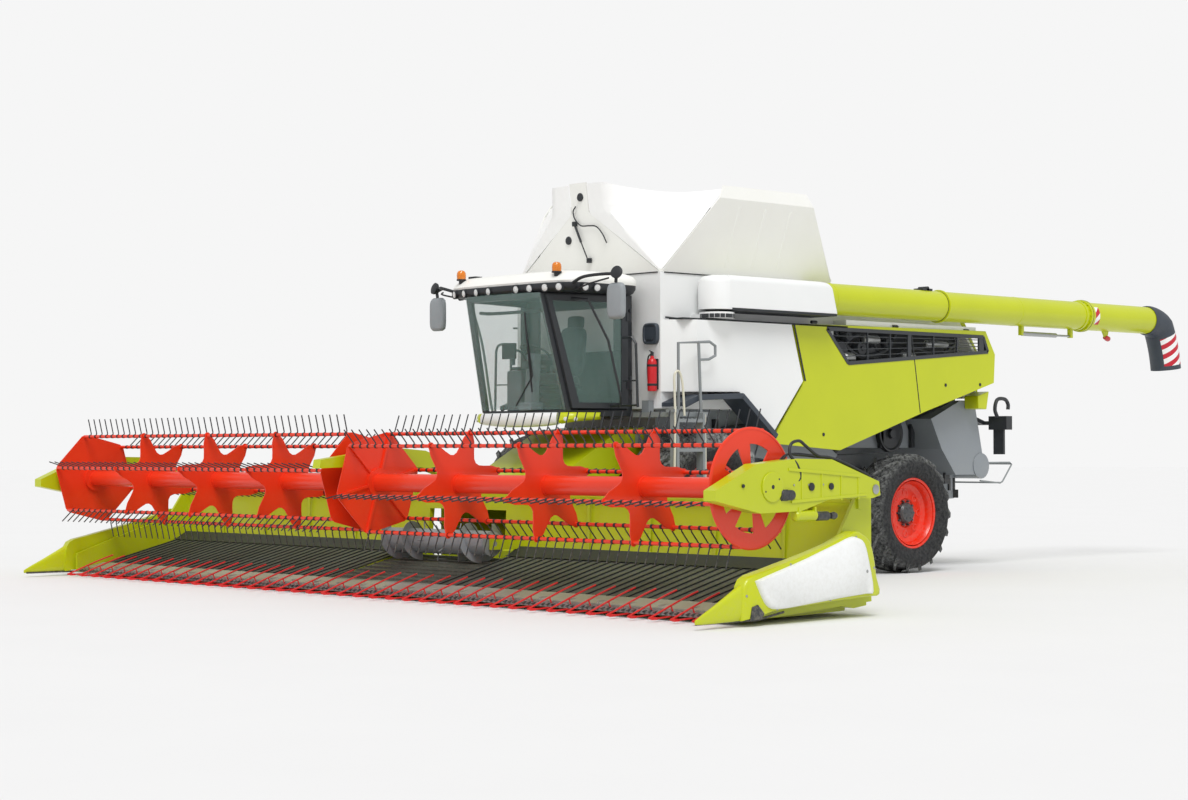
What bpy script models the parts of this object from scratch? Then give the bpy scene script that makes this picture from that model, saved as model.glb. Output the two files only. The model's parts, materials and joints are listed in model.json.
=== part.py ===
"""Combine harvester with a wide belt header and a two-section reel.

Frame: +X is the machine's left side, the machine faces -Y, +Z is up and the ground is z = 0.
The pieces are drawn with y measured from the reel's axis.  The whole machine then hangs on one
empty that moves the middle of its footprint onto the origin.
"""
import math

import bmesh
import bpy
from mathutils import Vector

for old in list(bpy.data.objects):
    bpy.data.objects.remove(old, do_unlink=True)

# ---------------------------------------------------------------- driving dimensions, metres
SEAT_GAP = 0.0003          # between pieces that touch
RUN_GAP = 0.006            # between pieces that pass each other
PIN_SIDES = 16
SHEET = 0.03               # pressed panels, with their folded edges
NOSE_Y = -1.0              # foremost point, the tips of the crop dividers
TAIL_Y = 14.86             # rearmost point, the spout of the unloading auger

# wheels and axles
FRONT_AXLE_Y = 4.17
WHEELBASE = 3.99
FRONT_TYRE_R = 0.99
FRONT_TYRE_W = 0.86
FRONT_RIM_R = 0.56
FRONT_WHEEL_X = 1.32       # middle of the tyre
REAR_TYRE_R = 0.82
REAR_TYRE_W = 0.58
REAR_RIM_R = 0.475
REAR_WHEEL_X = 1.44
KINGPIN_X = 1.04
TYRE_SEGMENTS = 24

# body
RAIL_X = 0.50              # outer face of the frame rails
RAIL_Z = (1.16, 1.40)
CROSS_LOW_Z = 1.17         # underside of the frame's cross members
BODY_X = 0.84              # threshing body, between the front tyres
SIDE_X = 1.57              # inner face of the side panels
SIDE_TOP_Z = 3.33
PANEL_HINGE_Z = 3.40
SEAM_Y = 5.22              # low front tip of the lime side panel
REAR_END_Y = 10.14         # rear end of the side panels
FLOOR_Z = 2.20             # cab floor and platform

# grain tank and its covers
TANK_X = 1.34
TANK_Y = (3.55, 6.87)
TANK_WALL = 0.04
TANK_FLOOR_Z = 2.22
RIM_Z = 3.93
COVER_T = 0.02
COVER_HINGE_Z = RIM_Z + COVER_T / 2 + SEAT_GAP
SIDE_COVER_H = 1.00
SIDE_COVER_LIP = 0.17
SIDE_COVER_LEAN = math.radians(19.0)
SIDE_LIP_LEAN = math.radians(-13.0)
END_COVER_H = 1.21
END_COVER_SHOULDER = 0.80
END_COVER_LEAN = math.radians(8.0)
CORNER_SLOPE = 0.72        # plan slope of the fold from each tank corner
CORNER_GAP = 0.02

# cab
CAB_REAR_Y = 3.29
CAB_REAR_X = 1.00
CAB_SIDE_SLOPE = 0.25      # how fast the cab narrows towards the windscreen
CAB_FOOT_Y = 2.48          # windscreen corner at the floor
CAB_HEAD_Y = 2.12          # windscreen corner at the roof
CAB_TOP_Z = 3.64
PILLAR = 0.07
GLASS = 0.008
SCREEN_BULGE = 0.13
DOOR_T = 0.04
ROOF_X = 1.18
ROOF_Y = (2.10, 3.46)
GRAB_TUBE = 0.017
HOOP_Y = 3.15              # grab hoop on the door, with the door's stop on its outer leg
HOOP_X = (1.022, 1.34)
PLATFORM_OUT_X = 1.80
LADDER_TOP_Z = 2.16
LADDER_PIN_R = 0.018
ROOF_Z = (CAB_TOP_Z + SEAT_GAP, 3.92)

# unloading auger
AUGER_X = 1.60
AUGER_Z = 3.70
AUGER_R = 0.21
AUGER_PIVOT_Y = 4.30
AUGER_ELBOW_R = 0.235
SHROUD_END_Y = 6.38
AUGER_FOLD_Y = 12.30
AUGER_TIP_Y = 14.20
SPOUT_R = 0.235
FOLD_BOSS_R = 0.025
FOLD_BOSS_H = 0.06         # half height of the tube's hinge boss; the spout section's two lie beyond it

# feeder house and lift
FEEDER_PIVOT = (3.72, 1.86)
FEEDER_X = 0.78
FEEDER_PIN_R = 0.04
LIFT_FOOT = (3.90, 0.70)   # cylinder pivot below the front axle
LIFT_EYE = (2.50, 0.56)    # rod eye under the feeder house
LIFT_X = 0.52
LIFT_PIN_R = 0.03
EYE_PIN_R = 0.022
EYE_PLAY = 0.010           # the rods' eyes drift this much as the header rises
BARREL_R = 0.062
ROD_R = 0.034

# header, its belts and knife
HEADER_X = 6.13            # inner face of the header's end plates
HEADER_REAR_Y = 1.76
HEADER_TOP_Z = 1.20
BACK_WALL_Y = 1.50
KNIFE_Y = -0.16
KNIFE_Z = 0.07
BELT_FRONT = (0.15, 0.135)
BELT_REAR = (1.33, 0.43)
BELT_T = 0.022
BELT_IN_X = 1.00
FEED_MOUTH_X = 0.72
FEED_MOUTH_Z = (0.40, 0.98)
DRUM_AXIS = (1.10, 0.60)
DRUM_R = 0.24
DRUM_HALF = 0.97
DRUM_PIN_R = 0.03
WELL_DEPTH = 0.07          # how far the centre of the table lies below the side belts
SHIELD_X = (6.215, 6.40)

# reel and its arms
REEL_Z = 1.328
REEL_R = 0.593             # circle of the tine bars
REEL_TUBE_R = 0.105
TINE_BAR_R = 0.021
REEL_OUT_X = 6.12
REEL_IN_LEFT_X = 0.17
REEL_IN_RIGHT_X = -0.12
REEL_PLATES = 5            # star plates on each section, ends included
REEL_PLATE_T = 0.014
LEFT_REEL_TURN = -16.0     # degrees that each section is turned from a bar straight up
RIGHT_REEL_TURN = 16.0
ARM_X = (6.20, 6.36)
ARM_PIVOT = (1.60, 1.30)
MID_ARM_X = (-0.045, 0.095)
ARM_PIN_R = 0.035
MID_ARM_PIN_R = 0.025

REAR_AXLE_Y = FRONT_AXLE_Y + WHEELBASE
MIDDLE_Y = (NOSE_Y + TAIL_Y) / 2

# ---------------------------------------------------------------- colours
FINISHES = {
    "lime paint": ("#C3CC00", 0.35, 0.0),
    "white paint": ("#F2F3F1", 0.35, 0.0),
    "red paint": ("#E8300A", 0.38, 0.0),
    "dark panel": ("#3E4650", 0.50, 0.0),
    "grey panel": ("#8E9499", 0.48, 0.0),
    "black steel": ("#23262A", 0.50, 0.3),
    "tyre rubber": ("#1D1E20", 0.85, 0.0),
    "belt rubber": ("#3D4039", 0.80, 0.0),
    "tinted glass": ("#9DB7B2", 0.05, 0.0),
    "black plastic": ("#1F2226", 0.55, 0.0),
    "seat cloth": ("#2C3038", 0.90, 0.0),
    "bare steel": ("#A9ABA8", 0.35, 0.9),
    "rail steel": ("#8C9193", 0.42, 0.6),
    "cream cover": ("#F4F4F0", 0.60, 0.0),
}


def linear(code):
    """sRGB hex to linear rgba."""
    rgba = []
    for at in (1, 3, 5):
        level = int(code[at:at + 2], 16) / 255
        rgba.append(level / 12.92 if level <= 0.04045 else ((level + 0.055) / 1.055) ** 2.4)
    return (*rgba, 1.0)


def finish(node, kind):
    """A material of the node's own."""
    colour, rough, metal = FINISHES[kind]
    paint = bpy.data.materials.new(node + " " + kind)
    paint.use_nodes = True
    shader = paint.node_tree.nodes["Principled BSDF"]
    shader.inputs["Base Color"].default_value = linear(colour)
    shader.inputs["Roughness"].default_value = rough
    shader.inputs["Metallic"].default_value = metal
    return paint


# ---------------------------------------------------------------- pivots
PIVOTS = {}


def pivot(name, point, parent=None):
    """An empty on a joint's axis; the pieces of that body hang on it."""
    empty = bpy.data.objects.new("pivot " + name, None)
    bpy.context.scene.collection.objects.link(empty)
    if parent:
        empty.parent = PIVOTS[parent][0]
        empty.location = Vector(point) - PIVOTS[parent][1]
    else:
        empty.location = (0, -MIDDLE_Y, 0)
    PIVOTS[name] = (empty, Vector(point))


# ---------------------------------------------------------------- shapes
def closed(bm):
    """Faces pointing out."""
    bmesh.ops.recalc_face_normals(bm, faces=bm.faces)
    if bm.calc_volume(signed=True) < 0:
        bmesh.ops.reverse_faces(bm, faces=bm.faces)
    return bm


def prism(outline, axis, low, high):
    """An outline in the two other axes, in x, y, z order, drawn out along axis."""
    bm = bmesh.new()
    spots = []
    for a, b in outline:
        spots.append({"x": (low, a, b), "y": (a, low, b), "z": (a, b, low)}[axis])
    face = bm.faces.new([bm.verts.new(spot) for spot in spots])
    drawn = bmesh.ops.extrude_face_region(bm, geom=[face])
    step = {"x": (high - low, 0, 0), "y": (0, high - low, 0), "z": (0, 0, high - low)}[axis]
    verts = [item for item in drawn["geom"] if isinstance(item, bmesh.types.BMVert)]
    bmesh.ops.translate(bm, verts=verts, vec=step)
    return closed(bm)


def block(low, high):
    """A box between two corners."""
    outline = [(low[0], low[1]), (high[0], low[1]), (high[0], high[1]), (low[0], high[1])]
    return prism(outline, "z", low[2], high[2])


def skin(rings, loop=False):
    """A closed skin over rings of equal length; the first and last are capped unless loop."""
    bm = bmesh.new()
    rows = [[bm.verts.new(spot) for spot in ring] for ring in rings]
    count = len(rows[0])
    pairs = list(zip(rows, rows[1:]))
    if loop:
        pairs.append((rows[-1], rows[0]))
    for one, two in pairs:
        for k in range(count):
            near = (k + 1) % count
            bm.faces.new((one[k], one[near], two[near], two[k]))
    if not loop:
        bm.faces.new(rows[0])
        bm.faces.new(rows[-1])
    return closed(bm)


def ring_at(centre, direction, radius, sides, turn=0.0):
    """Points of a circle across a direction."""
    along = Vector(direction).normalized()
    helper = Vector((0, 0, 1)) if abs(along.z) < 0.9 else Vector((0, 1, 0))
    side = along.cross(helper).normalized()
    up = side.cross(along)
    spots = []
    for k in range(sides):
        angle = turn + math.tau * k / sides
        spots.append(Vector(centre) + radius * (math.cos(angle) * side + math.sin(angle) * up))
    return spots


def rod(start, end, radius, sides=12, end_radius=None, turn=0.0):
    """A round bar or cone between two points."""
    start, end = Vector(start), Vector(end)
    far = radius if end_radius is None else end_radius
    return skin([ring_at(start, end - start, radius, sides, turn),
                 ring_at(end, end - start, far, sides, turn)])


def bore_r(radius):
    """Radius of a 16-sided hole in which a 16-sided pin of this radius turns."""
    return radius / math.cos(math.pi / PIN_SIDES) + 0.0002


def pipe(route, radius, sides=6):
    """A bent bar of round section along a route of points, without twist."""
    spots = [Vector(spot) for spot in route]
    side = (spots[1] - spots[0]).orthogonal().normalized()
    rings = []
    for k, spot in enumerate(spots):
        way = (spots[min(k + 1, len(spots) - 1)] - spots[max(k - 1, 0)]).normalized()
        side = (side - way * side.dot(way)).normalized()
        up = side.cross(way)
        ring = []
        for j in range(sides):
            angle = math.tau * j / sides
            ring.append(spot + radius * (math.cos(angle) * side + math.sin(angle) * up))
        rings.append(ring)
    return skin(rings)


def bar(start, end, width, depth, across):
    """A square bar between two points; width lies along across."""
    start, end = Vector(start), Vector(end)
    wide = Vector(across).normalized() * width / 2
    deep = (end - start).cross(wide).normalized() * depth / 2
    corners = (wide + deep, wide - deep, -wide - deep, deep - wide)
    return skin([[start + c for c in corners], [end + c for c in corners]])


def turned(profile, centre, segments, turn=0.0):
    """A closed profile of (x, radius) points turned about the x axis through centre."""
    rings = []
    for k in range(segments):
        angle = turn + math.tau * k / segments
        cos, sin = math.cos(angle), math.sin(angle)
        rings.append([(centre[0] + x, centre[1] + r * cos, centre[2] + r * sin) for x, r in profile])
    return skin(rings, loop=True)


def mirrored(bm):
    """The same shape on the machine's other side."""
    twin = bm.copy()
    for vert in twin.verts:
        vert.co.x = -vert.co.x
    return closed(twin)


# ---------------------------------------------------------------- objects
def helper_object(name, bm, on):
    """A guide that a Boolean reads; it isn't a piece."""
    guide = mesh_object(name, bm, on)
    guide.hide_render = True
    guide.display_type = "WIRE"
    return guide


def mesh_object(name, bm, on):
    """A mesh hung on a pivot, with its origin there."""
    empty, point = PIVOTS[on]
    for vert in bm.verts:
        vert.co -= point
    mesh = bpy.data.meshes.new(name)
    bm.to_mesh(mesh)
    bm.free()
    made = bpy.data.objects.new(name, mesh)
    bpy.context.scene.collection.objects.link(made)
    made.parent = empty
    return made


def boolean(target, kind, shapes, on):
    """Joins shapes to the target, or cuts them out of it."""
    group = bpy.data.collections.new(target.name + " " + kind.lower())
    bpy.context.scene.collection.children.link(group)
    for k, shape in enumerate(shapes):
        guide = helper_object(f"{target.name} {kind.lower()} {k}", shape, on)
        bpy.context.scene.collection.objects.unlink(guide)
        group.objects.link(guide)
    change = target.modifiers.new(kind.title(), "BOOLEAN")
    change.operation = kind
    change.operand_type = "COLLECTION"
    change.collection = group
    change.solver = "EXACT"


def piece(name, kind, shapes, on="machine", cuts=(), smooth=False):
    """One named sub-part: its shapes joined, then its cuts taken out."""
    made = mesh_object(name, shapes[0], on)
    made.data.materials.append(finish(name, kind))
    if len(shapes) > 1:
        boolean(made, "UNION", shapes[1:], on)
    if cuts:
        boolean(made, "DIFFERENCE", cuts, on)
    if smooth:
        made.data.shade_smooth()
        made.data.set_sharp_from_angle(angle=math.radians(40))
    return made


def both_sides(name, kind, shapes, on_left="machine", on_right="machine", cuts=(), smooth=False):
    """A left piece and its mirrored twin."""
    right_shapes = [mirrored(shape) for shape in shapes]
    right_cuts = [mirrored(cut) for cut in cuts]
    piece(name + "_left", kind, shapes, on_left, cuts, smooth)
    piece(name + "_right", kind, right_shapes, on_right, right_cuts, smooth)


# ---------------------------------------------------------------- the joints' places
pivot("machine", (0, 0, 0))
for side, sign in (("left", 1), ("right", -1)):
    pivot("front_wheel_" + side, (sign * FRONT_WHEEL_X, FRONT_AXLE_Y, FRONT_TYRE_R), "machine")
    pivot("rear_knuckle_" + side, (sign * KINGPIN_X, REAR_AXLE_Y, REAR_TYRE_R), "machine")
    pivot("rear_wheel_" + side, (sign * REAR_WHEEL_X, REAR_AXLE_Y, REAR_TYRE_R), "rear_knuckle_" + side)
    pivot("side_panel_" + side, (sign * SIDE_X, 0, PANEL_HINGE_Z), "machine")
    pivot("tank_cover_" + side, (sign * (TANK_X - TANK_WALL / 2), 0, COVER_HINGE_Z), "machine")
pivot("tank_cover_front", (0, TANK_Y[0] + TANK_WALL / 2, COVER_HINGE_Z), "machine")
pivot("tank_cover_rear", (0, TANK_Y[1] - TANK_WALL / 2, COVER_HINGE_Z), "machine")
DOOR_PIN = (CAB_REAR_X + 0.045, CAB_REAR_Y + 0.03)
pivot("cab_door", (*DOOR_PIN, FLOOR_Z), "machine")
LADDER_PIN = (1.86, 3.26)
pivot("ladder", (*LADDER_PIN, FLOOR_Z), "machine")
pivot("auger", (AUGER_X, AUGER_PIVOT_Y, AUGER_Z), "machine")
FOLD_PIN_X = AUGER_X - AUGER_R - 0.065
pivot("auger_tip", (FOLD_PIN_X, AUGER_FOLD_Y, AUGER_Z), "auger")
pivot("lift_barrels", (0, *LIFT_FOOT), "machine")
pivot("lift_rods", (0, *LIFT_FOOT), "lift_barrels")
pivot("header", (0, *FEEDER_PIVOT), "machine")
pivot("intake_drum", (0, *DRUM_AXIS), "header")
pivot("reel_arms", (0, *ARM_PIVOT), "header")
pivot("reel_carriages", (0, 0, REEL_Z), "reel_arms")
pivot("reel_left", (REEL_OUT_X, 0, REEL_Z), "reel_carriages")
pivot("reel_right", (-REEL_OUT_X, 0, REEL_Z), "reel_carriages")


# ---------------------------------------------------------------- wheels and axles
def tyre_profile(radius, width, rim):
    """Half-round shoulders, straight walls, open bead."""
    half = width / 2
    bead = half * 0.72
    return [(-bead, rim), (-half * 0.96, rim + (radius - rim) * 0.35), (-half, rim + (radius - rim) * 0.65),
            (-half * 0.90, radius * 0.965), (-half * 0.55, radius), (half * 0.55, radius),
            (half * 0.90, radius * 0.965), (half, rim + (radius - rim) * 0.65),
            (half * 0.96, rim + (radius - rim) * 0.35), (bead, rim)]


def rim_profile(rim, width, disc_x, hub_x):
    """A dished rim: barrel, disc and hub in one section that reaches the axis."""
    bead = width * 0.36 - SEAT_GAP
    seat = rim - SEAT_GAP
    wall = 0.02
    return [(-bead, seat), (bead, seat), (bead, seat - wall), (disc_x + 0.10, seat - 0.05),
            (disc_x + 0.03, seat * 0.55), (disc_x + 0.03, 0.17), (hub_x[1], 0.15), (hub_x[1], 0.03),
            (hub_x[0], 0.03), (hub_x[0], 0.16), (disc_x, 0.19), (disc_x, seat * 0.55),
            (disc_x + 0.06, seat - 0.06), (-bead, seat - wall)]


def wheel(side, sign, which, centre, radius, width, rim, disc_x, hub_x):
    """Tyre and rim of one wheel; disc and hub are measured outwards from the tyre's middle."""
    on = f"{which}_wheel_{side}"
    turn = -math.pi / 2
    tyre = turned(tyre_profile(radius, width, rim), centre, TYRE_SEGMENTS, turn)
    steel = turned(rim_profile(rim, width, disc_x, hub_x), centre, TYRE_SEGMENTS, turn)
    if sign < 0:
        tyre, steel = mirrored(tyre), mirrored(steel)
    piece(f"{which}_tyre_{side}", "tyre rubber", [tyre], on, smooth=True)
    piece(f"{which}_rim_{side}", "red paint", [steel], on, smooth=True)


FRONT_HUB_X = (-0.50, 0.10)
REAR_HUB_X = (-0.20, 0.14)
for side, sign in (("left", 1), ("right", -1)):
    wheel(side, sign, "front", (FRONT_WHEEL_X, FRONT_AXLE_Y, FRONT_TYRE_R), FRONT_TYRE_R,
          FRONT_TYRE_W, FRONT_RIM_R, 0.02, FRONT_HUB_X)
    wheel(side, sign, "rear", (REAR_WHEEL_X, REAR_AXLE_Y, REAR_TYRE_R), REAR_TYRE_R,
          REAR_TYRE_W, REAR_RIM_R, 0.04, REAR_HUB_X)

axle_end = FRONT_WHEEL_X + FRONT_HUB_X[0] - SEAT_GAP
axle_z = FRONT_TYRE_R
ears = []
for x in (-LIFT_X, LIFT_X):
    for near in (-0.115, 0.075):
        ears.append(prism([(LIFT_FOOT[0] - 0.07, LIFT_FOOT[1] - 0.06), (LIFT_FOOT[0] + 0.08, LIFT_FOOT[1] - 0.06),
                           (LIFT_FOOT[0] + 0.26, axle_z), (LIFT_FOOT[0] + 0.07, axle_z)], "x", x + near, x + near + 0.04))
ear_holes = [rod((-LIFT_X - 0.2, *LIFT_FOOT), (LIFT_X + 0.2, *LIFT_FOOT), bore_r(LIFT_PIN_R), PIN_SIDES)]
piece("front_axle", "black steel",
      [block((-0.70, FRONT_AXLE_Y - 0.16, axle_z - 0.15), (0.70, FRONT_AXLE_Y + 0.16, RAIL_Z[0] - SEAT_GAP)),
       rod((-axle_end, FRONT_AXLE_Y, axle_z), (axle_end, FRONT_AXLE_Y, axle_z), 0.145, 16)] + ears,
      cuts=ear_holes)

beam_end = KINGPIN_X - 0.11
fork = []
for low in (-0.20, 0.13):
    for sign in (-1, 1):
        tip = sign * (KINGPIN_X + 0.07)
        root = sign * (beam_end - 0.10)
        fork.append(block((min(tip, root), REAR_AXLE_Y - 0.08, REAR_TYRE_R + low),
                          (max(tip, root), REAR_AXLE_Y + 0.08, REAR_TYRE_R + low + 0.07)))
piece("rear_axle", "black steel",
      [block((-beam_end, REAR_AXLE_Y - 0.10, REAR_TYRE_R - 0.195), (beam_end, REAR_AXLE_Y + 0.10, REAR_TYRE_R + 0.195)),
       block((-0.20, REAR_AXLE_Y - 0.14, REAR_TYRE_R + 0.10), (0.20, REAR_AXLE_Y + 0.14, CROSS_LOW_Z - SEAT_GAP))] + fork)
hub_face = REAR_WHEEL_X + REAR_HUB_X[0] - SEAT_GAP
knuckle_z = (REAR_TYRE_R - 0.13 + 0.0005, REAR_TYRE_R + 0.13 - 0.0005)
both_sides("rear_knuckle", "black steel",
           [rod((KINGPIN_X, REAR_AXLE_Y, knuckle_z[0]), (KINGPIN_X, REAR_AXLE_Y, knuckle_z[1]), 0.085, 16),
            rod((KINGPIN_X, REAR_AXLE_Y, REAR_TYRE_R), (hub_face, REAR_AXLE_Y, REAR_TYRE_R), 0.075, 12)],
           "rear_knuckle_left", "rear_knuckle_right")

# ---------------------------------------------------------------- frame and threshing body
RAIL_FRONT_Y = 3.66
RAIL_REAR_Y = 9.90
HITCH_Y = 10.20
hitch_z = (RAIL_Z[0] + 0.02, RAIL_Z[0] + 0.18)
cross = []
for y in (RAIL_FRONT_Y + 0.02, FRONT_AXLE_Y + 0.5, 6.0, 7.1, REAR_AXLE_Y - 0.1, RAIL_REAR_Y - 0.22):
    cross.append(block((-RAIL_X + 0.02, y, CROSS_LOW_Z), (RAIL_X - 0.02, y + 0.20, RAIL_Z[1] - 0.01)))
rails = [block((x, RAIL_FRONT_Y, RAIL_Z[0]), (x + 0.12, RAIL_REAR_Y, RAIL_Z[1])) for x in (-RAIL_X, RAIL_X - 0.12)]
hitch = block((-0.12, RAIL_REAR_Y - 0.1, hitch_z[0]), (0.12, HITCH_Y, hitch_z[1]))
piece("chassis_frame", "black steel", rails + cross + [hitch])

BODY_FRONT_Y = FEEDER_PIVOT[0] + 0.24
body_low = RAIL_Z[1] + SEAT_GAP
pivot_lugs = []
for x in (-FEEDER_X - RUN_GAP - 0.054, FEEDER_X + RUN_GAP):
    pivot_lugs.append(block((x, FEEDER_PIVOT[0] - 0.07, FEEDER_PIVOT[1] - 0.09), (x + 0.054, BODY_FRONT_Y + 0.05, FEEDER_PIVOT[1] + 0.09)))
lug_hole = rod((-BODY_X - 0.05, *FEEDER_PIVOT), (BODY_X + 0.05, *FEEDER_PIVOT), bore_r(FEEDER_PIN_R), PIN_SIDES)
piece("threshing_body", "grey panel",
      pivot_lugs + [prism([(6.20, FLOOR_Z - 0.09), (6.15, TANK_FLOOR_Z - SEAT_GAP), (BODY_FRONT_Y, TANK_FLOOR_Z - SEAT_GAP), (BODY_FRONT_Y, 1.62), (BODY_FRONT_Y + 0.2, body_low), (6.9, body_low),
              (7.2, 1.72), (9.25, 1.72), (9.02, FLOOR_Z - 0.09)], "x", -BODY_X, BODY_X)],
      cuts=[lug_hole])

ENGINE_Y = (7.30, 8.90)
piece("engine_block", "black steel", [block((-0.55, ENGINE_Y[0], FLOOR_Z - 0.09 + SEAT_GAP), (0.75, ENGINE_Y[1], 3.25))])

# ---------------------------------------------------------------- grain tank
tank_outline = [(-TANK_X, TANK_Y[1]), (-TANK_X, TANK_Y[0]), (TANK_X, TANK_Y[0]), (TANK_X, TANK_Y[1])]
inner_x = TANK_X - TANK_WALL
inner_y = (TANK_Y[0] + TANK_WALL, TANK_Y[1] - TANK_WALL)
hopper_low = TANK_FLOOR_Z + 0.12
hollow = skin([[(-0.35, 4.6, hopper_low), (-0.35, 5.8, hopper_low), (0.35, 5.8, hopper_low), (0.35, 4.6, hopper_low)],
               [(-inner_x, inner_y[0], 3.0), (-inner_x, inner_y[1], 3.0), (inner_x, inner_y[1], 3.0), (inner_x, inner_y[0], 3.0)],
               [(-inner_x, inner_y[0], RIM_Z + 0.1), (-inner_x, inner_y[1], RIM_Z + 0.1),
                (inner_x, inner_y[1], RIM_Z + 0.1), (inner_x, inner_y[0], RIM_Z + 0.1)]])
under = skin([[(-TANK_X - 0.1, 6.2, TANK_FLOOR_Z - 0.1), (-TANK_X - 0.1, 7.2, TANK_FLOOR_Z - 0.1),
               (TANK_X + 0.1, 7.2, TANK_FLOOR_Z - 0.1), (TANK_X + 0.1, 6.2, TANK_FLOOR_Z - 0.1)],
              [(-TANK_X - 0.1, 6.99, 3.0), (-TANK_X - 0.1, 7.2, 3.0), (TANK_X + 0.1, 7.2, 3.0), (TANK_X + 0.1, 6.99, 3.0)]])
collar_z = (PANEL_HINGE_Z - 0.04, AUGER_Z - AUGER_ELBOW_R - 0.03)
collar = [rod((AUGER_X, AUGER_PIVOT_Y, collar_z[0]), (AUGER_X, AUGER_PIVOT_Y, collar_z[1]), AUGER_ELBOW_R - 0.01, 20),
          block((TANK_X - 0.02, AUGER_PIVOT_Y - 0.2, collar_z[0]), (AUGER_X, AUGER_PIVOT_Y + 0.2, collar_z[0] + 0.05))]
piece("grain_tank", "white paint", [prism(tank_outline, "z", TANK_FLOOR_Z, RIM_Z)] + collar, cuts=[hollow, under])


def side_cover(sign):
    """A cover hinged on the tank's side rim, with a lip bent inwards."""
    hinge_x = TANK_X - TANK_WALL / 2
    corner = (TANK_Y[0] + TANK_WALL / 2, TANK_Y[1] - TANK_WALL / 2)
    rings = []
    x, z = hinge_x, COVER_HINGE_Z
    stations = [(0.0, x, z)]
    x += SIDE_COVER_H * math.sin(SIDE_COVER_LEAN)
    z += SIDE_COVER_H * math.cos(SIDE_COVER_LEAN)
    stations.append((SIDE_COVER_H, x, z))
    x += SIDE_COVER_LIP * math.sin(SIDE_LIP_LEAN)
    z += SIDE_COVER_LIP * math.cos(SIDE_LIP_LEAN)
    stations.append((SIDE_COVER_H + SIDE_COVER_LIP * 0.85, x, z))
    normals = (SIDE_COVER_LEAN, (SIDE_COVER_LEAN + SIDE_LIP_LEAN) / 2, SIDE_LIP_LEAN)
    for (reach, x, z), lean in zip(stations, normals):
        out = (COVER_T / 2 * math.cos(lean), -COVER_T / 2 * math.sin(lean))
        front = corner[0] + CORNER_SLOPE * reach + CORNER_GAP
        back = corner[1] - CORNER_SLOPE * reach - CORNER_GAP
        rings.append([(sign * (x + out[0]), front, z + out[1]), (sign * (x + out[0]), back, z + out[1]),
                      (sign * (x - out[0]), back, z - out[1]), (sign * (x - out[0]), front, z - out[1])])
    pin_y = (corner[0] + CORNER_GAP + 0.01, corner[1] - CORNER_GAP - 0.01)
    tube = rod((sign * hinge_x, pin_y[0], COVER_HINGE_Z), (sign * hinge_x, pin_y[1], COVER_HINGE_Z), COVER_T / 2, 12)
    return [skin(rings), tube]


def end_cover(hinge_y, sign):
    """A cover hinged on the tank's front or rear rim, leaning out by END_COVER_LEAN."""
    corner_x = TANK_X - TANK_WALL / 2
    sine, cosine = math.sin(END_COVER_LEAN), math.cos(END_COVER_LEAN)
    tongue = corner_x - SIDE_COVER_H - SIDE_COVER_LIP * 0.85 - CORNER_GAP
    shoulder = (corner_x - CORNER_GAP - tongue) * CORNER_SLOPE
    rings = []
    for reach, half in ((0.0, corner_x - CORNER_GAP), (shoulder, tongue), (END_COVER_H, tongue)):
        y = hinge_y + sign * reach * sine
        z = COVER_HINGE_Z + reach * cosine
        out = (COVER_T / 2 * cosine * sign, -COVER_T / 2 * sine)
        rings.append([(-half, y + out[0], z + out[1]), (half, y + out[0], z + out[1]),
                      (half, y - out[0], z - out[1]), (-half, y - out[0], z - out[1])])
    half = corner_x - CORNER_GAP - 0.01
    tube = rod((-half, hinge_y, COVER_HINGE_Z), (half, hinge_y, COVER_HINGE_Z), COVER_T / 2, 12)
    return [skin(rings), tube]


piece("tank_cover_left", "cream cover", side_cover(1), "tank_cover_left")
piece("tank_cover_right", "cream cover", side_cover(-1), "tank_cover_right")
piece("tank_cover_front", "cream cover", end_cover(TANK_Y[0] + TANK_WALL / 2, -1), "tank_cover_front")
piece("tank_cover_rear", "cream cover", end_cover(TANK_Y[1] - TANK_WALL / 2, 1), "tank_cover_rear")

# ---------------------------------------------------------------- outer panels
panel_x = (SIDE_X + 0.03, SIDE_X + 0.03 + SHEET)
SIDE_FRONT_Y = 3.92
FENDER_TOP_Z = 2.34
white_side = prism([(SIDE_FRONT_Y, SIDE_TOP_Z), (SIDE_FRONT_Y, FENDER_TOP_Z + 0.09), (4.68, FENDER_TOP_Z + 0.10),
                    (5.33, 1.93), (5.91, 2.60), (5.69, SIDE_TOP_Z)], "x", *panel_x)
white_corner = prism([(TANK_X + SEAT_GAP, TANK_Y[0]), (panel_x[1], SIDE_FRONT_Y - 0.01), (panel_x[1], SIDE_FRONT_Y + 0.02),
                      (panel_x[0], SIDE_FRONT_Y + 0.02), (TANK_X + SEAT_GAP, TANK_Y[0] + 0.05)], "z",
                     FENDER_TOP_Z + 0.09, SIDE_TOP_Z)
white_brace = block((TANK_X + SEAT_GAP, 4.85, 2.90), (panel_x[0] + 0.01, 4.93, 3.20))
both_sides("front_side_panel", "white paint", [white_side, white_corner, white_brace])

fender_x = (TANK_X + SEAT_GAP, 1.72)
fender_line = [(TANK_Y[0] + 0.02, FENDER_TOP_Z - 0.10), (3.86, FENDER_TOP_Z), (4.66, FENDER_TOP_Z + 0.03), (5.30, 1.86)]
fender_top = [(y, z + 0.05) for y, z in fender_line]
both_sides("fender", "dark panel", [prism(fender_line + fender_top[::-1], "x", *fender_x)])

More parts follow.
